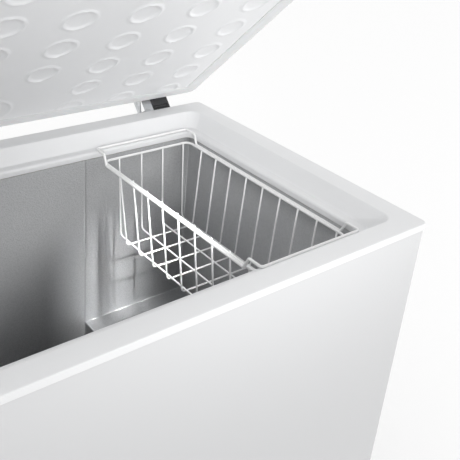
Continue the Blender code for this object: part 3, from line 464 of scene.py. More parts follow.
def copper(colours):
    """Drawn copper tube with brown and pink patches of tarnish."""
    finish = Finish("copper tube", (0.86, 0.46, 0.3), Metallic=1.0, Roughness=0.3)
    finish.tint(finish.noise(45, 4, 0.65).between(0.4, 0.75) * 0.8, (0.42, 0.2, 0.12))
    finish.raise_by(finish.noise(500, 3), 0.00008)
    finish.feed("Roughness", 0.24 + 0.3 * finish.noise(70, 3))
    return finish


def white_wire(colours):
    """Steel wire dipped in white plastic: smooth, glossy and slightly uneven in thickness."""
    finish = Finish("dipped white wire", colours.basket, Roughness=0.28, Coat_Weight=0.3)
    finish.raise_by(finish.noise(170, 2), 0.0005, 0.6)
    finish.tint(finish.noise(60, 3) * 0.3, shade(colours.basket, 0.93))
    finish.feed("Roughness", 0.24 + 0.12 * finish.noise(200, 2))
    return finish


def grey_plastic(colours):
    """Grained grey plastic of the control panel."""
    finish = Finish("grained grey plastic", colours.panel, Roughness=0.5)
    finish.raise_by(finish.cells(1100), 0.00014)
    finish.tint(finish.noise(30, 3) * 0.4, shade(colours.panel, 0.88))
    finish.feed("Roughness", 0.44 + 0.14 * finish.noise(400, 2))
    return finish


def lamp(name, dark, light):
    """A small clear lens over a lamp: prismatic inside, glowing faintly at its middle."""

    def make(colours):
        finish = Finish(name, dark, Roughness=0.15, Coat_Weight=0.6, Emission_Strength=0.35)
        facets = finish.cells(2600, "DISTANCE_TO_EDGE")
        finish.raise_by(facets, 0.0002)
        finish.tint(facets.between(0.05, 0.4) * 0.6, light)
        finish.feed("Emission Color", finish.shader.inputs["Base Color"].links[0].from_socket)
        finish.feed("Roughness", 0.1 + 0.15 * finish.noise(900, 2))
        return finish

    return make


GREEN_LENS = lamp("green lens", (0.03, 0.35, 0.1), (0.15, 0.8, 0.3))
RED_LENS = lamp("red lens", (0.4, 0.02, 0.02), (0.9, 0.15, 0.1))
PLAIN_FINISHES = (
    white_steel, white_plastic, lid_plastic, gasket_grey, liner_aluminium, foam, galvanised, spring_steel,
    black_enamel, black_plastic, black_rubber, copper, white_wire, grey_plastic,
)
FINISHES = {make.__name__: make for make in PLAIN_FINISHES}
FINISHES.update(green_lamp=GREEN_LENS, red_lamp=RED_LENS)


@functools.cache
def material_of(slot):
    """The slot's material, made at its first use and shared after that."""
    return FINISHES[slot](bpy.context.scene.freezer_colours).material


# ---- what a user would change ----
def length(name, description, default):
    return FloatProperty(name=name, description=description, default=default, min=0.0, unit="LENGTH",
                         subtype="DISTANCE", precision=4)


def colour(name, description, default):
    return FloatVectorProperty(name=name, description=description, default=default, size=3, min=0.0,
                               max=1.0, subtype="COLOR")


class FREEZER_PG_sizes(bpy.types.PropertyGroup):
    """Sizes of the details that the frame leaves plain."""

    rim_flat: length("Rim flat", "Width of the flat top of the rim", 0.034)
    rim_ledge: length("Rim ledge", "Depth of the ledge below the rim's top", 0.0225)
    rim_wall: length("Rim thickness", "Thickness of the moulded rim", 0.0022)
    front_narrower: length("Front narrower", "How much less the rim slopes in at the front", 0.006)
    liner_fold: length("Liner fold", "Radius of the folds in the liner", 0.0018)
    dimple_pitch: length("Dimple columns", "Distance between dimple columns in the lid", 0.098)
    dimple_rows: length("Dimple rows", "Distance between dimple rows in the lid", 0.0755)
    dimple_first: length("First dimple row", "Distance of the first row from the lid's back edge", 0.0500)
    dimple_shift: length("Dimple shift", "Distance of the middle column from the lid's middle", 0.0100)
    dimple_radius: length("Dimple radius", "Radius of a dimple's ring", 0.0225)
    dimple_depth: length("Dimple depth", "Depth of a dimple", 0.0016)
    lid_mesh: length("Lid mesh step", "Step of the lining's surface grid", 0.0024)
    wire_sides: IntProperty(name="Wire sides", description="Sides of the basket's round wires",
                            default=14, min=6, max=32)
    knob_flutes: IntProperty(name="Knob flutes", description="Grooves round the thermostat dial",
                             default=24, min=6, max=60)


class FREEZER_PG_colours(bpy.types.PropertyGroup):
    """Base colours of the main finishes."""

    cabinet_paint: colour("Cabinet paint", "Painted steel of the cabinet and the lid", (0.60, 0.603, 0.61))
    rim_plastic: colour("Rim plastic", "Moulded top rim", (0.73, 0.734, 0.74))
    lid_plastic: colour("Lid lining", "Formed lining of the lid", (0.77, 0.775, 0.785))
    seal: colour("Lid seal", "Soft magnetic seal", (0.70, 0.705, 0.71))
    liner: colour("Liner", "Embossed aluminium of the liner", (0.47, 0.475, 0.482))
    zinc: colour("Zinc", "Galvanised steel", (0.62, 0.635, 0.65))
    basket: colour("Basket", "Dipped wire of the basket", (0.86, 0.86, 0.86))
    panel: colour("Control panel", "Grained plastic behind the dial", (0.38, 0.39, 0.4))
    floor: colour("Studio floor", "Pale floor of the studio", (0.98, 0.98, 0.98))


# ---- cabinet ----
def build_top_rim(sizes):
    """The moulded rim: one section, its corners rounded, carried round the cabinet's opening."""
    low, high = corners("top_rim")
    flat, ledge, wall = sizes.rim_flat, sizes.rim_ledge, sizes.rim_wall
    drop, skirt, slope = high[2] - low[2], 0.0105, 0.0215
    reach, lip, outside = 0.0707, 0.0018, wall - 0.0004
    section = [
        (0.0, -skirt), (0.0, 0.0), (flat, 0.0), (flat + slope, -ledge), (reach, -ledge),
        (reach, -drop), (reach - lip, -drop), (reach - lip, -ledge - wall),
        (flat + slope - 0.0015, -ledge - wall), (flat - 0.0012, -wall), (outside, -wall), (outside, -skirt),
    ]
    radii = [0.0005, 0.0016, 0.0040, 0.0045, 0.0042, 0.0006, 0.0006, 0.0022, 0.0020, 0.0020, 0.0008, 0.0005]
    section = round_corners(section, radii, steps=7)
    inset = section[:, 0]
    share = np.clip((inset - flat) / (0.069 - flat), 0, 1)
    radius = np.interp(inset, [0, 0.004, flat, reach], [0.009, 0.0085, 0.022, 0.0125])
    section[:, 1] += high[2]
    points = moulding(section, low, high, radius, sizes.front_narrower * share, steps=14)
    faces = grid_faces(*points.shape[:2], True, True)
    add_piece("moulded_rim", points, faces, "white_plastic", "cabinet", ["top_rim"], crease=50)


def build_liner(sizes):
    """The storage space's skin: a stepped outline carried from front to back, closed by both end
    walls, with every fold rounded and the sheet given its thickness."""
    x, y, z = (levels("inner_liner", axis) for axis in range(3))
    sheet = x[1] - x[0]
    left, step, right = x[1], x[-3], x[-2]
    front, back = y[0] + sheet, y[-1] - sheet
    bottom, raised, top = z[0] + sheet, z[-2], z[-1]
    outline = np.array([(left, top), (left, bottom), (step, bottom), (step, raised), (right, raised),
                        (right, top), (step, top)])
    points = np.concatenate([np.insert(outline, 1, y_wall, axis=1) for y_wall in (front, back)])
    count = len(outline)
    walls = [[i, i + 1, count + i + 1, count + i] for i in range(5)]
    ends = [[start + i for i in ring] for start in (0, count) for ring in ((0, 1, 2, 3, 6), (6, 3, 4, 5))]
    piece = add_piece("embossed_liner", points, walls + ends, "liner_aluminium", "cabinet",
                      ["inner_liner"], crease=30)
    middle = Vector(((left + right) / 2, (front + back) / 2, top - 0.1))
    work = bmesh.new()
    work.from_mesh(piece.data)
    inward = [face for face in work.faces if (middle - face.calc_center_median()).dot(face.normal) < 0]
    bmesh.ops.reverse_faces(work, faces=inward)
    work.to_mesh(piece.data)
    work.free()
    folds = piece.modifiers.new("folds", "BEVEL")
    folds.width, folds.segments, folds.limit_method = sizes.liner_fold, 4, "ANGLE"
    folds.angle_limit = math.radians(30)
    wall = piece.modifiers.new("sheet", "SOLIDIFY")
    wall.thickness, wall.offset = sheet * 0.8, -1
    piece.data.set_sharp_from_angle(angle=math.radians(60))


class FREEZER_OT_top_rim(bpy.types.Operator):
    """Makes the moulded rim round the opening"""

    bl_idname = "freezer.top_rim"
    bl_label = "Top rim"

    def execute(self, context):
        build_top_rim(context.scene.freezer_sizes)
        return {"FINISHED"}


class FREEZER_OT_liner(bpy.types.Operator):
    """Makes the embossed liner of the storage space"""

    bl_idname = "freezer.liner"
    bl_label = "Liner"

    def execute(self, context):
        build_liner(context.scene.freezer_sizes)
        return {"FINISHED"}


# ---- lid ----
def dish(distance, radius, depth):
    """Height of a dimple over its distance from the middle: a shallow bowl that is deepest in the
    middle, and round it a raised ring whose height falls off as a bell curve."""
    ring_height, ring_width = 0.0016, 0.0026
    bowl = depth * np.clip(1 - (distance / radius) ** 2, 0, 1)
    ring = ring_height * np.exp(-(((distance - radius) / ring_width) ** 2))
    return bowl - ring


def dimple_field(x, y, back, sizes):
    """Sum of the dimples over the lining: the distance is to the nearest place of a regular pattern of
    columns and rows; a larger double ring takes the place of the dimples that it covers."""
    pitch, rows = sizes.dimple_pitch, sizes.dimple_rows
    last_column, last_row, clearance = 4, 5, 0.078
    across = x - sizes.dimple_shift
    away = back - sizes.dimple_first - y
    nearest_across = np.clip(np.round(across / pitch), -last_column, last_column) * pitch
    nearest_away = np.clip(np.round(away / rows), 0, last_row) * rows
    distance = np.hypot(across - nearest_across, away - nearest_away)
    ring_across, ring_away = 0.036, 0.0830 - sizes.dimple_first
    from_ring = np.hypot(across - ring_across, away - ring_away)
    covered = np.hypot(nearest_across - ring_across, nearest_away - ring_away) <= clearance
    plain = np.where(covered, 0.0, dish(distance, sizes.dimple_radius, sizes.dimple_depth))
    return plain + dish(from_ring, 0.046, 0.0012) + dish(from_ring, 0.024, 0.0008)


def build_lid_lining(sizes):
    """The lid's lining: height = field + smooth step up to the border + dimples, on an even grid; its
    edge folds up to a flat back, all turned open with the lid."""
    low, high = closed_corners("lid_inner_panel")
    edge, border_width, shoulder, border_rise = 0.0105, 0.0325, 0.0105, 0.0150
    dimples_from, fade = 0.043, 0.006
    x0, x1, y0, y1 = low[0] + edge, high[0] - edge, low[1] + edge, high[1] - edge
    columns = int((x1 - x0) / sizes.lid_mesh)
    rows = int((y1 - y0) / sizes.lid_mesh)
    x, y = np.meshgrid(np.linspace(x0, x1, columns), np.linspace(y0, y1, rows))
    inside = np.minimum(np.minimum(x - low[0], high[0] - x), np.minimum(y - low[1], high[1] - y))
    share = np.clip((inside - border_width) / shoulder, 0, 1)
    border = (1 - share * share * (3 - 2 * share)) * border_rise
    dimples = dimple_field(x, y, high[1] + 0.002, sizes) * np.clip((inside - dimples_from) / fade, 0, 1)
    z = low[2] + border + dimples
    front = np.stack([x, y, z], axis=-1)
    count = rows * columns
    index = np.arange(count).reshape(rows, columns)
    ring = np.concatenate([index[0, :-1], index[:-1, -1], index[-1, :0:-1], index[:0:-1, 0]])
    flat = front.reshape(-1, 3)
    rear = flat[ring].copy()
    rear[:, 2] = high[2]
    points = turn_lid(np.concatenate([flat, rear]), LID_ANGLE)
    rim = count + np.arange(len(ring))
    sides = np.stack([ring, np.roll(ring, -1), np.roll(rim, -1), rim], axis=-1)
    faces = grid_faces(rows, columns).tolist() + sides.tolist() + [rim.tolist()]
    add_piece("dimpled_lid_lining", points, faces, "lid_plastic", "lid", ["lid_inner_panel"])


def build_lid_skin():
    """The lid's outer pan: a section from its inner face out round the folded lip, up the side and
    over a rounded edge, carried round the lid; flat caps close the top outside and inside."""
    low, high = closed_corners("lid_outer_panel")
    sheet, lip, corner = 0.0010, 0.0100, 0.0158
    outline = np.array([
        (0.080, high[2] - sheet), (sheet, high[2] - sheet), (sheet, low[2] + sheet),
        (lip, low[2] + sheet), (lip, low[2]), (0.0, low[2]), (0.0, high[2]), (0.080, high[2]),
    ])
    radii = [corner - sheet, 0.0004, 0.0003, 0.0004, 0.0008, corner]
    section = round_corners(outline, radii, steps=10, closed=False)
    radius = np.interp(section[:, 0], [0, corner, 0.080], [corner, 0.008, 0.004])
    shape = moulding(section, low, high, radius, steps=12)
    faces = barrel_faces(*shape.shape[:2])
    add_piece("lid_skin", turn_lid(shape, LID_ANGLE), faces, "white_steel", "lid", ["lid_outer_panel"],
              crease=50)


def build_lid_seal():
    """The magnetic seal: a section with a broad smooth face, a bellows fold on its outer side and a
    soft lip that reaches the lining on its inner side, carried round the lid."""
    low, high = closed_corners("lid_gasket")
    thick = high[2] - low[2]
    section = np.array([
        (0.0045, thick), (0.0045, 0.78 * thick), (0.0062, 0.70 * thick), (0.0040, 0.60 * thick),
        (0.0006, 0.50 * thick), (0.0002, 0.16 * thick), (0.0022, 0.0), (0.0230, 0.0),
        (0.0300, 0.10 * thick), (0.0305, 0.30 * thick), (0.0243, thick),
    ])
    radii = [0.0011, 0.0011, 0.0011, 0.0011, 0.0011, 0.0011, 0.0011, 0.0030, 0.0008, 0.0008, 0.0011]
    section = round_corners(section, radii, steps=6)
    section[:, 1] += low[2]
    shape = moulding(section, low, high, 0.0125 - 0.2 * section[:, 0], steps=12)
    faces = grid_faces(*shape.shape[:2], True, True)
    add_piece("magnetic_seal", turn_lid(shape, LID_ANGLE), faces, "gasket_grey", "lid", ["lid_gasket"],
              crease=60)


def build_lid_pull():
    """The pull on the lid's front: its hooked section carried from side to side, drawn in and rounded
    at both ends by half an ellipse."""
    low, high = closed_corners("lid_handle")
    depth, tall = high[1] - low[1], high[2] - low[2]
    outline = np.array([
        (0, tall), (0.014, tall), (0.0220, tall - 0.0062), (depth, tall - 0.012), (depth, 0.0),
        (depth - 0.0033, 0.0), (depth - 0.0033, tall - 0.0125), (0.0178, tall - 0.0085), (0, tall - 0.0085),
    ])
    section = round_corners(outline, [0.0004, 0.006, 0.004, 0.004, 0.0014, 0.0014, 0.003, 0.003, 0.0004], 6)
    across = np.linspace(-1, 1, 41)
    bend = np.clip((np.abs(across) - 0.9) / 0.1, 0, 1)
    taper = np.sqrt(np.clip(1 - bend**2, 0, 1)) * 0.35 + 0.65
    middle = section.mean(axis=0)
    shrunk = middle + (section - middle)[None] * taper[:, None, None]
    shrunk[..., 0] = np.maximum(shrunk[..., 0], 0)
    x = np.broadcast_to((across * high[0])[:, None], shrunk.shape[:2])
    shape = np.stack([x, high[1] - shrunk[..., 0], low[2] + shrunk[..., 1]], axis=-1)
    faces = barrel_faces(*shape.shape[:2])
    add_piece("lid_pull", turn_lid(shape, LID_ANGLE), faces, "white_plastic", "lid", ["lid_handle"],
              crease=50)


class FREEZER_OT_lid_lining(bpy.types.Operator):
    """Makes the dimpled lining of the lid"""

    bl_idname = "freezer.lid_lining"
    bl_label = "Lid lining"

    def execute(self, context):
        build_lid_lining(context.scene.freezer_sizes)
        return {"FINISHED"}


class FREEZER_OT_lid_shell(bpy.types.Operator):
    """Makes the lid's outer skin, its seal and its pull"""

    bl_idname = "freezer.lid_shell"
    bl_label = "Lid skin, seal and pull"

    def execute(self, context):
        build_lid_skin()
        build_lid_seal()
        build_lid_pull()
        return {"FINISHED"}


# ---- basket ----
def basket_ring(sizes):
    """The upper wire: a level rectangle with round corners. Its middle line's sides are given back."""
    low, high = corners("basket_ring")
    radius = (high[2] - low[2]) / 2
    z = low[2] + radius
    x0, x1, y0, y1 = low[0] + radius, high[0] - radius, low[1] + radius, high[1] - radius
    outline = [(x0, y0, z), (x1, y0, z), (x1, y1, z), (x0, y1, z)]
    path = round_corners(outline, 0.012, steps=9)
    return tube(path, radius, sizes.wire_sides, (0, 0, 1), closed=True), (x0, x1, y0, y1, z, radius)


def hook_frame(sizes, ring):
    """The outer wire: low beside the ring, stepping up near both ends to lie on the rim's ledge."""
    low, high = corners("basket_hook_frame")
    _, _, y0, y1, _, radius = ring
    x0, x1 = low[0] + radius, high[0] - radius
    front, back = low[1] + radius, high[1] - radius
    down, up = low[2] + radius, high[2] - radius
    rise = ((y0 + 0.010, up), (y0 + 0.018, down), (y1 - 0.018, down), (y1 - 0.010, up))
    right = [(x1, y, z) for y, z in rise]
    left = [(x0, y, z) for y, z in rise[::-1]]
    outline = [(x1, front, up), *right, (x1, back, up), (x0, back, up), *left, (x0, front, up)]
    radii = [0.005, 0.0038, 0.0038, 0.0038, 0.0038, 0.005] * 2
    path = round_corners(outline, radii, steps=7)
    return tube(path, radius, sizes.wire_sides, (0, 0, 1), closed=True)


def cage_wires(sizes, ring):
    """Cross wires and long wires: each hangs from the ring, slopes in, and turns flat under the load."""
    x0, x1, y0, y1, z, ring_radius = ring
    radius, bend, gap, lift = 0.0015, 0.008, 0.0003, 0.0004
    cross_count, cross_pitch, cross_first = 9, 0.041, 0.0475
    long_count, long_pitch, long_first, long_over_cross = 4, 0.0444, 0.0167, 0.0026
    inside = ring_radius + radius + gap
    top, bottom = z + lift, corners("basket_cage")[0][2] + radius
    under = bottom + long_over_cross
    sides = sizes.wire_sides - 2
    wires = []
    left, right, front, back = x0 + inside, x1 - inside, y0 + inside, y1 - inside
    for number in range(cross_count):
        y = y1 + ring_radius - cross_first - cross_pitch * number
        path = [(left, y, top), (left + 0.018, y, bottom), (right - 0.008, y, bottom), (right, y, top)]
        wires.append(tube(round_corners(path, bend, 7, closed=False), radius, sides, (0, 1, 0)))
    for number in range(long_count):
        x = x1 + ring_radius - long_first - long_pitch * number
        path = [(x, front, top), (x, front + 0.010, under), (x, back - 0.010, under), (x, back, top)]
        wires.append(tube(round_corners(path, bend, 7, closed=False), radius, sides, (1, 0, 0)))
    return wires


def build_basket(sizes):
    ring_wire, ring = basket_ring(sizes)
    add_piece("basket_ring_wire", *ring_wire, "white_wire", "basket", ["basket_ring"], crease=60)
    add_piece("basket_hook_wire", *hook_frame(sizes, ring), "white_wire", "basket",
              ["basket_hook_frame"], crease=60)
    add_piece("basket_cage_wires", *joined(cage_wires(sizes, ring)), "white_wire", "basket",
              ["basket_cage"], crease=60)


class FREEZER_OT_basket(bpy.types.Operator):
    """Makes the wire basket"""

    bl_idname = "freezer.basket"
    bl_label = "Basket"

    def execute(self, context):
        build_basket(context.scene.freezer_sizes)
        return {"FINISHED"}


# ---- small hardware ----
def build_hinge_spring(side):
    """A torsion spring: a helix about the pin, point = middle + (run along x, r cos a, r sin a), its
    turns a wire's width apart."""
    low, high = corners(f"hinge_spring_{side}")
    wire = 0.0007
    radius = (high[1] - low[1]) / 2 - wire
    middle = (low + high) / 2
    turns = 17
    angle = np.linspace(0, 2 * math.pi * turns, turns * 20)
    run = np.linspace(low[0] + 0.0012, high[0] - 0.0012, len(angle))
    path = np.stack([run, middle[1] + radius * np.cos(angle), middle[2] + radius * np.sin(angle)], -1)
    add_piece(f"torsion_spring_{side}", *tube(path, wire, 8, (1, 0, 0)), "spring_steel", "cabinet",
              [f"hinge_spring_{side}"], crease=60)


def screw_head(place, radius=0.0036, height=0.0019, sides=40, rings=14):
    """A pan head with a cross recess, facing +y: height = h (1 - r^4) less a recess where the point is
    near either arm of the cross; the rim drops to the plate."""
    share = np.linspace(0, 1, rings)[:, None]
    angle = (np.arange(sides) * 2 * math.pi / sides)[None, :]
    x, z = share * np.cos(angle), share * np.sin(angle)
    arm = np.minimum(np.abs(x), np.abs(z))
    recess = np.clip((0.17 - arm) / 0.06, 0, 1) * np.clip((0.62 - share) / 0.12, 0, 1)
    rise = height * ((1 - share**4) * 0.75 + 0.25) - recess * height * 0.65
    rise[-1] = 0.0
    points = np.stack([place[0] + radius * x, place[1] + rise, place[2] + radius * z], axis=-1)
    faces = grid_faces(rings, sides, False, True).tolist() + [list(range((rings - 1) * sides, rings * sides))]
    return points.reshape(-1, 3), faces


def build_screws():
    """Pan-head screws on the rear cover and on both hinge plates."""
    low, high = corners("machine_room_cover")
    inset = 0.009
    across = (low[0] + inset, (low[0] + high[0]) / 2, high[0] - inset)
    places = [(x, high[1], z) for x in across for z in (low[2] + inset, high[2] - inset)]
    add_piece("cover_screws", *joined([screw_head(place) for place in places]), "galvanised", "cabinet")
    heads = []
    for side in ("left", "right"):
        low, high = corners(f"hinge_bracket_{side}")
        middle = (low[0] + high[0]) / 2
        plate = low[1] + 0.0016
        heads += [screw_head((middle + x, plate, low[2] + z), 0.0042, 0.0022)
                  for x, z in ((-0.017, 0.014), (0.017, 0.014), (-0.017, 0.058), (0.017, 0.058))]
    add_piece("hinge_screws", *joined(heads), "spring_steel", "cabinet")


def build_dial(sizes):
    """The thermostat's dial: radius = profile radius less a cosine flute on its skirt, a raised grip
    across its face and a pointer."""
    low, high = corners("thermostat_knob")
    middle, base = (low + high) / 2, high[1]
    full = (high[0] - low[0]) / 2 - 0.0002
    tall = high[1] - low[1]
    profile = np.array([(0.0, full - 0.0008), (0.0006, full), (0.0042, full - 0.0002),
                        (0.0052, full - 0.0010), (0.0056, full - 0.0024), (0.0056, 0.0096),
                        (0.0060, 0.0084), (0.0060, 0.0)])
    fine = round_corners(profile, 0.0005, steps=5, closed=False)
    angle = np.linspace(0, 2 * math.pi, 24 * sizes.knob_flutes // 4, endpoint=False)[None, :]
    near_edge = np.clip((fine[:, 1] - full + 0.0030) / 0.0030, 0, 1)[:, None]
    radius = fine[:, 1:] - 0.0007 * near_edge * (0.5 - 0.5 * np.cos(angle * sizes.knob_flutes))
    points = np.stack([middle[0] + radius * np.cos(angle), base - fine[:, :1] + 0 * angle,
                       middle[2] + radius * np.sin(angle)], axis=-1)
    rows, columns = points.shape[:2]
    back = list(range(columns))
    skirt = (points.reshape(-1, 3), grid_faces(rows, columns, False, True).tolist() + [back])
    outline = round_corners([(-0.0036, -0.0150), (0.0036, -0.0150), (0.0036, 0.0150), (-0.0036, 0.0150)],
                            0.0030, steps=8)
    heights = np.array([0.0050, tall - 0.0014, tall - 0.0006, tall - 0.0002])
    shrink = np.array([1.0, 0.92, 0.84, 0.70])
    bar = np.stack([middle[0] + outline[None, :, 0] * shrink[:, None],
                    np.broadcast_to(base - heights[:, None], (4, len(outline))),
                    middle[2] + outline[None, :, 1] * (0.6 + 0.4 * shrink[:, None])], axis=-1)
    grip = (bar.reshape(-1, 3), barrel_faces(4, len(outline)))
    add_piece("fluted_dial", *joined([skirt, grip]), "white_plastic", "knob", ["thermostat_knob"],
              crease=45)
    mark = bar_mark(middle[0], base - tall + 0.0002, middle[2] + 0.0090, 0.0, 0.0012, 0.0060)
    add_piece("dial_pointer", *mark, "black_plastic", "knob")


def bar_mark(x, y, z, angle, width, long):
    """A thin raised bar on a face that looks towards -y, turned by the angle about its middle."""
    outline = round_corners([(-width / 2, -long / 2), (width / 2, -long / 2), (width / 2, long / 2),
                             (-width / 2, long / 2)], width * 0.4, steps=4)
    cos, sin = math.cos(angle), math.sin(angle)
    across = x + outline[:, 0] * cos + outline[:, 1] * sin
    up = z - outline[:, 0] * sin + outline[:, 1] * cos
    layers = [np.stack([across, np.full(len(outline), y + step), up], -1) for step in (0.0001, -0.0002)]
    return np.concatenate(layers), barrel_faces(2, len(outline))


def build_dial_marks():
    """Seven raised ticks on the control panel round the dial, growing longer as the cold does."""
    low, high = corners("thermostat_knob")
    face = corners("control_bezel")[0][1]
    centre_x, centre_z = (low[0] + high[0]) / 2, (low[2] + high[2]) / 2
    marks = []
    for number in range(7):
        angle = math.radians(-140 + 280 * number / 6)
        long = 0.0024 + 0.0005 * number
        reach = 0.0212 + long / 2
        marks.append(bar_mark(centre_x + reach * math.sin(angle), face, centre_z + reach * math.cos(angle),
                              angle, 0.0011, long))
    add_piece("dial_ticks", *joined(marks), "white_plastic", "cabinet")


def build_drain_pieces():
    """The drain's plug in the floor and its cap on the front: each a tapered stem under a wide head, a
    profile of (height, radius) turned about its axis."""
    stem = [(0.0, 0.0), (0.0, 0.0058), (0.010, 0.0069)]
    low, high = corners("drain_plug")
    middle, tall = (low + high) / 2, high[2] - low[2]
    head = [(0.010, 0.0150), (0.013, 0.0150), (0.0142, 0.0060), (tall, 0.0052), (tall, 0.0)]
    radii = [0.0008, 0.001, 0.0006, 0.0012, 0.0012, 0.0018]
    plug = turned(round_corners(stem + head, radii, 5, closed=False), (*middle[:2], low[2]), (0, 0, 1))
    add_piece("turned_drain_plug", *plug, "white_plastic", "drain_plug", ["drain_plug"], crease=50)
    low, high = corners("drain_cap")
    middle, deep = (low + high) / 2, high[1] - low[1]
    hollow = deep - 0.0012
    head = [(0.010, 0.0140), (0.013, 0.0140), (deep, 0.0115), (deep, 0.0070), (hollow, 0.0060), (hollow, 0.0)]
    radii = [0.0008, 0.001, 0.0005, 0.001, 0.0012, 0.0005, 0.0005]
    place = (middle[0], high[1], middle[2])
    cap = turned(round_corners(stem + head, radii, 5, closed=False), place, (0, -1, 0))
    add_piece("turned_drain_cap", *cap, "white_plastic", "drain_cap", ["drain_cap"], crease=50)


class FREEZER_OT_hinge_hardware(bpy.types.Operator):
    """Makes the hinges' torsion springs and all screw heads"""

    bl_idname = "freezer.hinge_hardware"
    bl_label = "Springs and screws"

    def execute(self, context):
        for side in ("left", "right"):
            build_hinge_spring(side)
        build_screws()
        return {"FINISHED"}


class FREEZER_OT_controls(bpy.types.Operator):
    """Makes the dial with its marks, and the drain's plug and cap"""

    bl_idname = "freezer.controls"
    bl_label = "Dial and drain"

    def execute(self, context):
        build_dial(context.scene.freezer_sizes)
        build_dial_marks()
        build_drain_pieces()
        return {"FINISHED"}


class FREEZER_OT_frame_finishes(bpy.types.Operator):
    """Gives every part of the frame the finish that its record names"""

    bl_idname = "freezer.frame_finishes"
    bl_label = "Finishes of the frame"

    def execute(self, context):
        for part in frame["record"]["subparts"]:
            mesh = NODES[part["node"]].data
            mesh.materials.clear()
            mesh.materials.append(material_of(part["material_slot"]))
        return {"FINISHED"}


# ---- studio ----
def build_floor(colours):
    """A broad pale floor, a little uneven in tone."""
    size = 14.0
    mesh = bpy.data.meshes.new("studio_floor")
    mesh.from_pydata([(-size, -size, 0), (size, -size, 0), (size, size, 0), (-size, size, 0)], [],
                     [(0, 1, 2, 3)])
    floor = bpy.data.objects.new("studio_floor", mesh)
    bpy.context.scene.collection.objects.link(floor)
    finish = Finish("studio floor", colours.floor, Roughness=0.9, Specular_IOR_Level=0.1)
    finish.tint(finish.noise(2.0, 2) * 0.2, shade(colours.floor, 0.99))
    floor.data.materials.append(finish.material)


def add_softbox(name, place, target, size, power, spread=180.0):
    """A rectangular light at a place, facing its target, its beam narrowed to the spread in degrees."""
    light = bpy.data.lights.new(name, "AREA")
    light.spread = math.radians(spread)
    light.shape, light.size, light.size_y = "RECTANGLE", size[0], size[1]
    light.energy = power
    holder = bpy.data.objects.new(name, light)
    holder.location = place
    holder.rotation_euler = (Vector(target) - Vector(place)).to_track_quat("-Z", "Y").to_euler()
    bpy.context.scene.collection.objects.link(holder)


def build_lights():
    """One light rakes under the lid onto the rim's inner faces, a narrow one falls through the opening
    onto the step, one lifts the lid's lining, and a broad one fills the front from the right."""
    add_softbox("rim_softbox", (-0.9, -2.0, 1.55), (0.40, 0.22, 0.79), (0.5, 0.3), power=0.32, spread=16)
    add_softbox("step_softbox", (0.22, -1.34, 2.32), (0.26, 0.20, 0.46), (0.12, 0.10), power=0.18, spread=4)
    add_softbox("lid_softbox", (0.9, -2.2, 0.95), (0.28, 0.10, 1.02), (0.6, 0.4), power=0.48, spread=28)
    add_softbox("fill_softbox", (2.4, -2.6, 0.9), (0.3, 0.0, 0.95), (1.6, 1.2), power=8)


def build_world():
    """An even white surround, shown without any tone curve."""
    world = bpy.data.worlds.new("studio")
    world.use_nodes = True
    background = world.node_tree.nodes["Background"]
    background.inputs["Color"].default_value = (1.0, 1.0, 1.0, 1)
    background.inputs["Strength"].default_value = 1.0
    bpy.context.scene.world = world
    bpy.context.scene.view_settings.view_transform = "Standard"


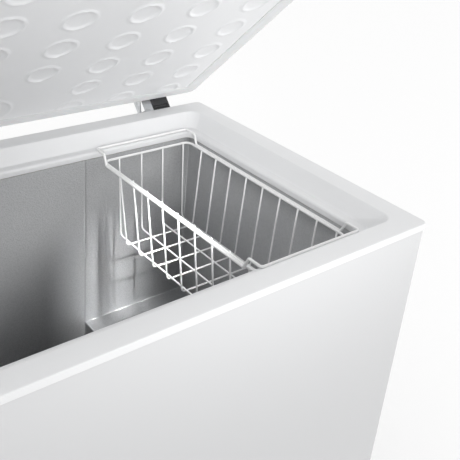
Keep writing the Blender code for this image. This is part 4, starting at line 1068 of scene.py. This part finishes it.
def build_camera():
    """The camera stands before the left half, above the open lid's front, tilted down and a little
    to one side: its axes are the level right and forward directions turned by the roll."""
    low, high = corners("top_rim")
    azimuth, pitch, roll = (math.radians(angle) for angle in (39.80, 25.35, 4.75))
    forward = Vector((math.sin(azimuth) * math.cos(pitch), math.cos(azimuth) * math.cos(pitch),
                      -math.sin(pitch)))
    level = Vector((math.cos(azimuth), -math.sin(azimuth), 0))
    upward = level.cross(forward)
    right = level * math.cos(roll) + upward * math.sin(roll)
    top = upward * math.cos(roll) - level * math.sin(roll)
    from_corner = (-0.8266, -0.5038, 0.4876)
    data = bpy.data.cameras.new("studio_camera")
    data.sensor_width, data.lens = 36.0, 57.25
    data.shift_x, data.shift_y = 0.04, -0.13
    camera = bpy.data.objects.new("studio_camera", data)
    place = Vector((high[0], low[1], high[2])) + Vector(from_corner)
    camera.matrix_world = Matrix.Translation(place) @ Matrix((right, top, -forward)).transposed().to_4x4()
    bpy.context.scene.collection.objects.link(camera)
    bpy.context.scene.camera = camera


class FREEZER_OT_stage(bpy.types.Operator):
    """Makes the floor, the lights and the camera"""

    bl_idname = "freezer.stage"
    bl_label = "Stage"

    def execute(self, context):
        build_floor(context.scene.freezer_colours)
        build_lights()
        build_world()
        build_camera()
        return {"FINISHED"}


class FREEZER_PT_panel(bpy.types.Panel):
    """Lists the freezer's pieces, sizes and colours"""

    bl_idname = "FREEZER_PT_panel"
    bl_label = "Chest freezer"
    bl_space_type = "VIEW_3D"
    bl_region_type = "UI"
    bl_category = "Freezer"

    def draw(self, context):
        layout = self.layout
        for group in (context.scene.freezer_sizes, context.scene.freezer_colours):
            column = layout.column(align=True)
            for key in group.__annotations__:
                column.prop(group, key)
        for operator in OPERATORS:
            layout.operator(operator.bl_idname)


OPERATORS = (
    FREEZER_OT_frame_finishes,
    FREEZER_OT_top_rim,
    FREEZER_OT_liner,
    FREEZER_OT_lid_lining,
    FREEZER_OT_lid_shell,
    FREEZER_OT_basket,
    FREEZER_OT_hinge_hardware,
    FREEZER_OT_controls,
    FREEZER_OT_stage,
)
CLASSES = (FREEZER_PG_sizes, FREEZER_PG_colours, *OPERATORS, FREEZER_PT_panel)


def register():
    for entry in CLASSES:
        bpy.utils.register_class(entry)
    bpy.types.Scene.freezer_sizes = PointerProperty(type=FREEZER_PG_sizes)
    bpy.types.Scene.freezer_colours = PointerProperty(type=FREEZER_PG_colours)


def unregister():
    del bpy.types.Scene.freezer_colours
    del bpy.types.Scene.freezer_sizes
    for entry in reversed(CLASSES):
        bpy.utils.unregister_class(entry)


def main():
    register()
    bpy.ops.freezer.frame_finishes()
    bpy.ops.freezer.top_rim()
    bpy.ops.freezer.liner()
    bpy.ops.freezer.lid_lining()
    bpy.ops.freezer.lid_shell()
    bpy.ops.freezer.basket()
    bpy.ops.freezer.hinge_hardware()
    bpy.ops.freezer.controls()
    bpy.ops.freezer.stage()


if __name__ == "__main__":
    main()
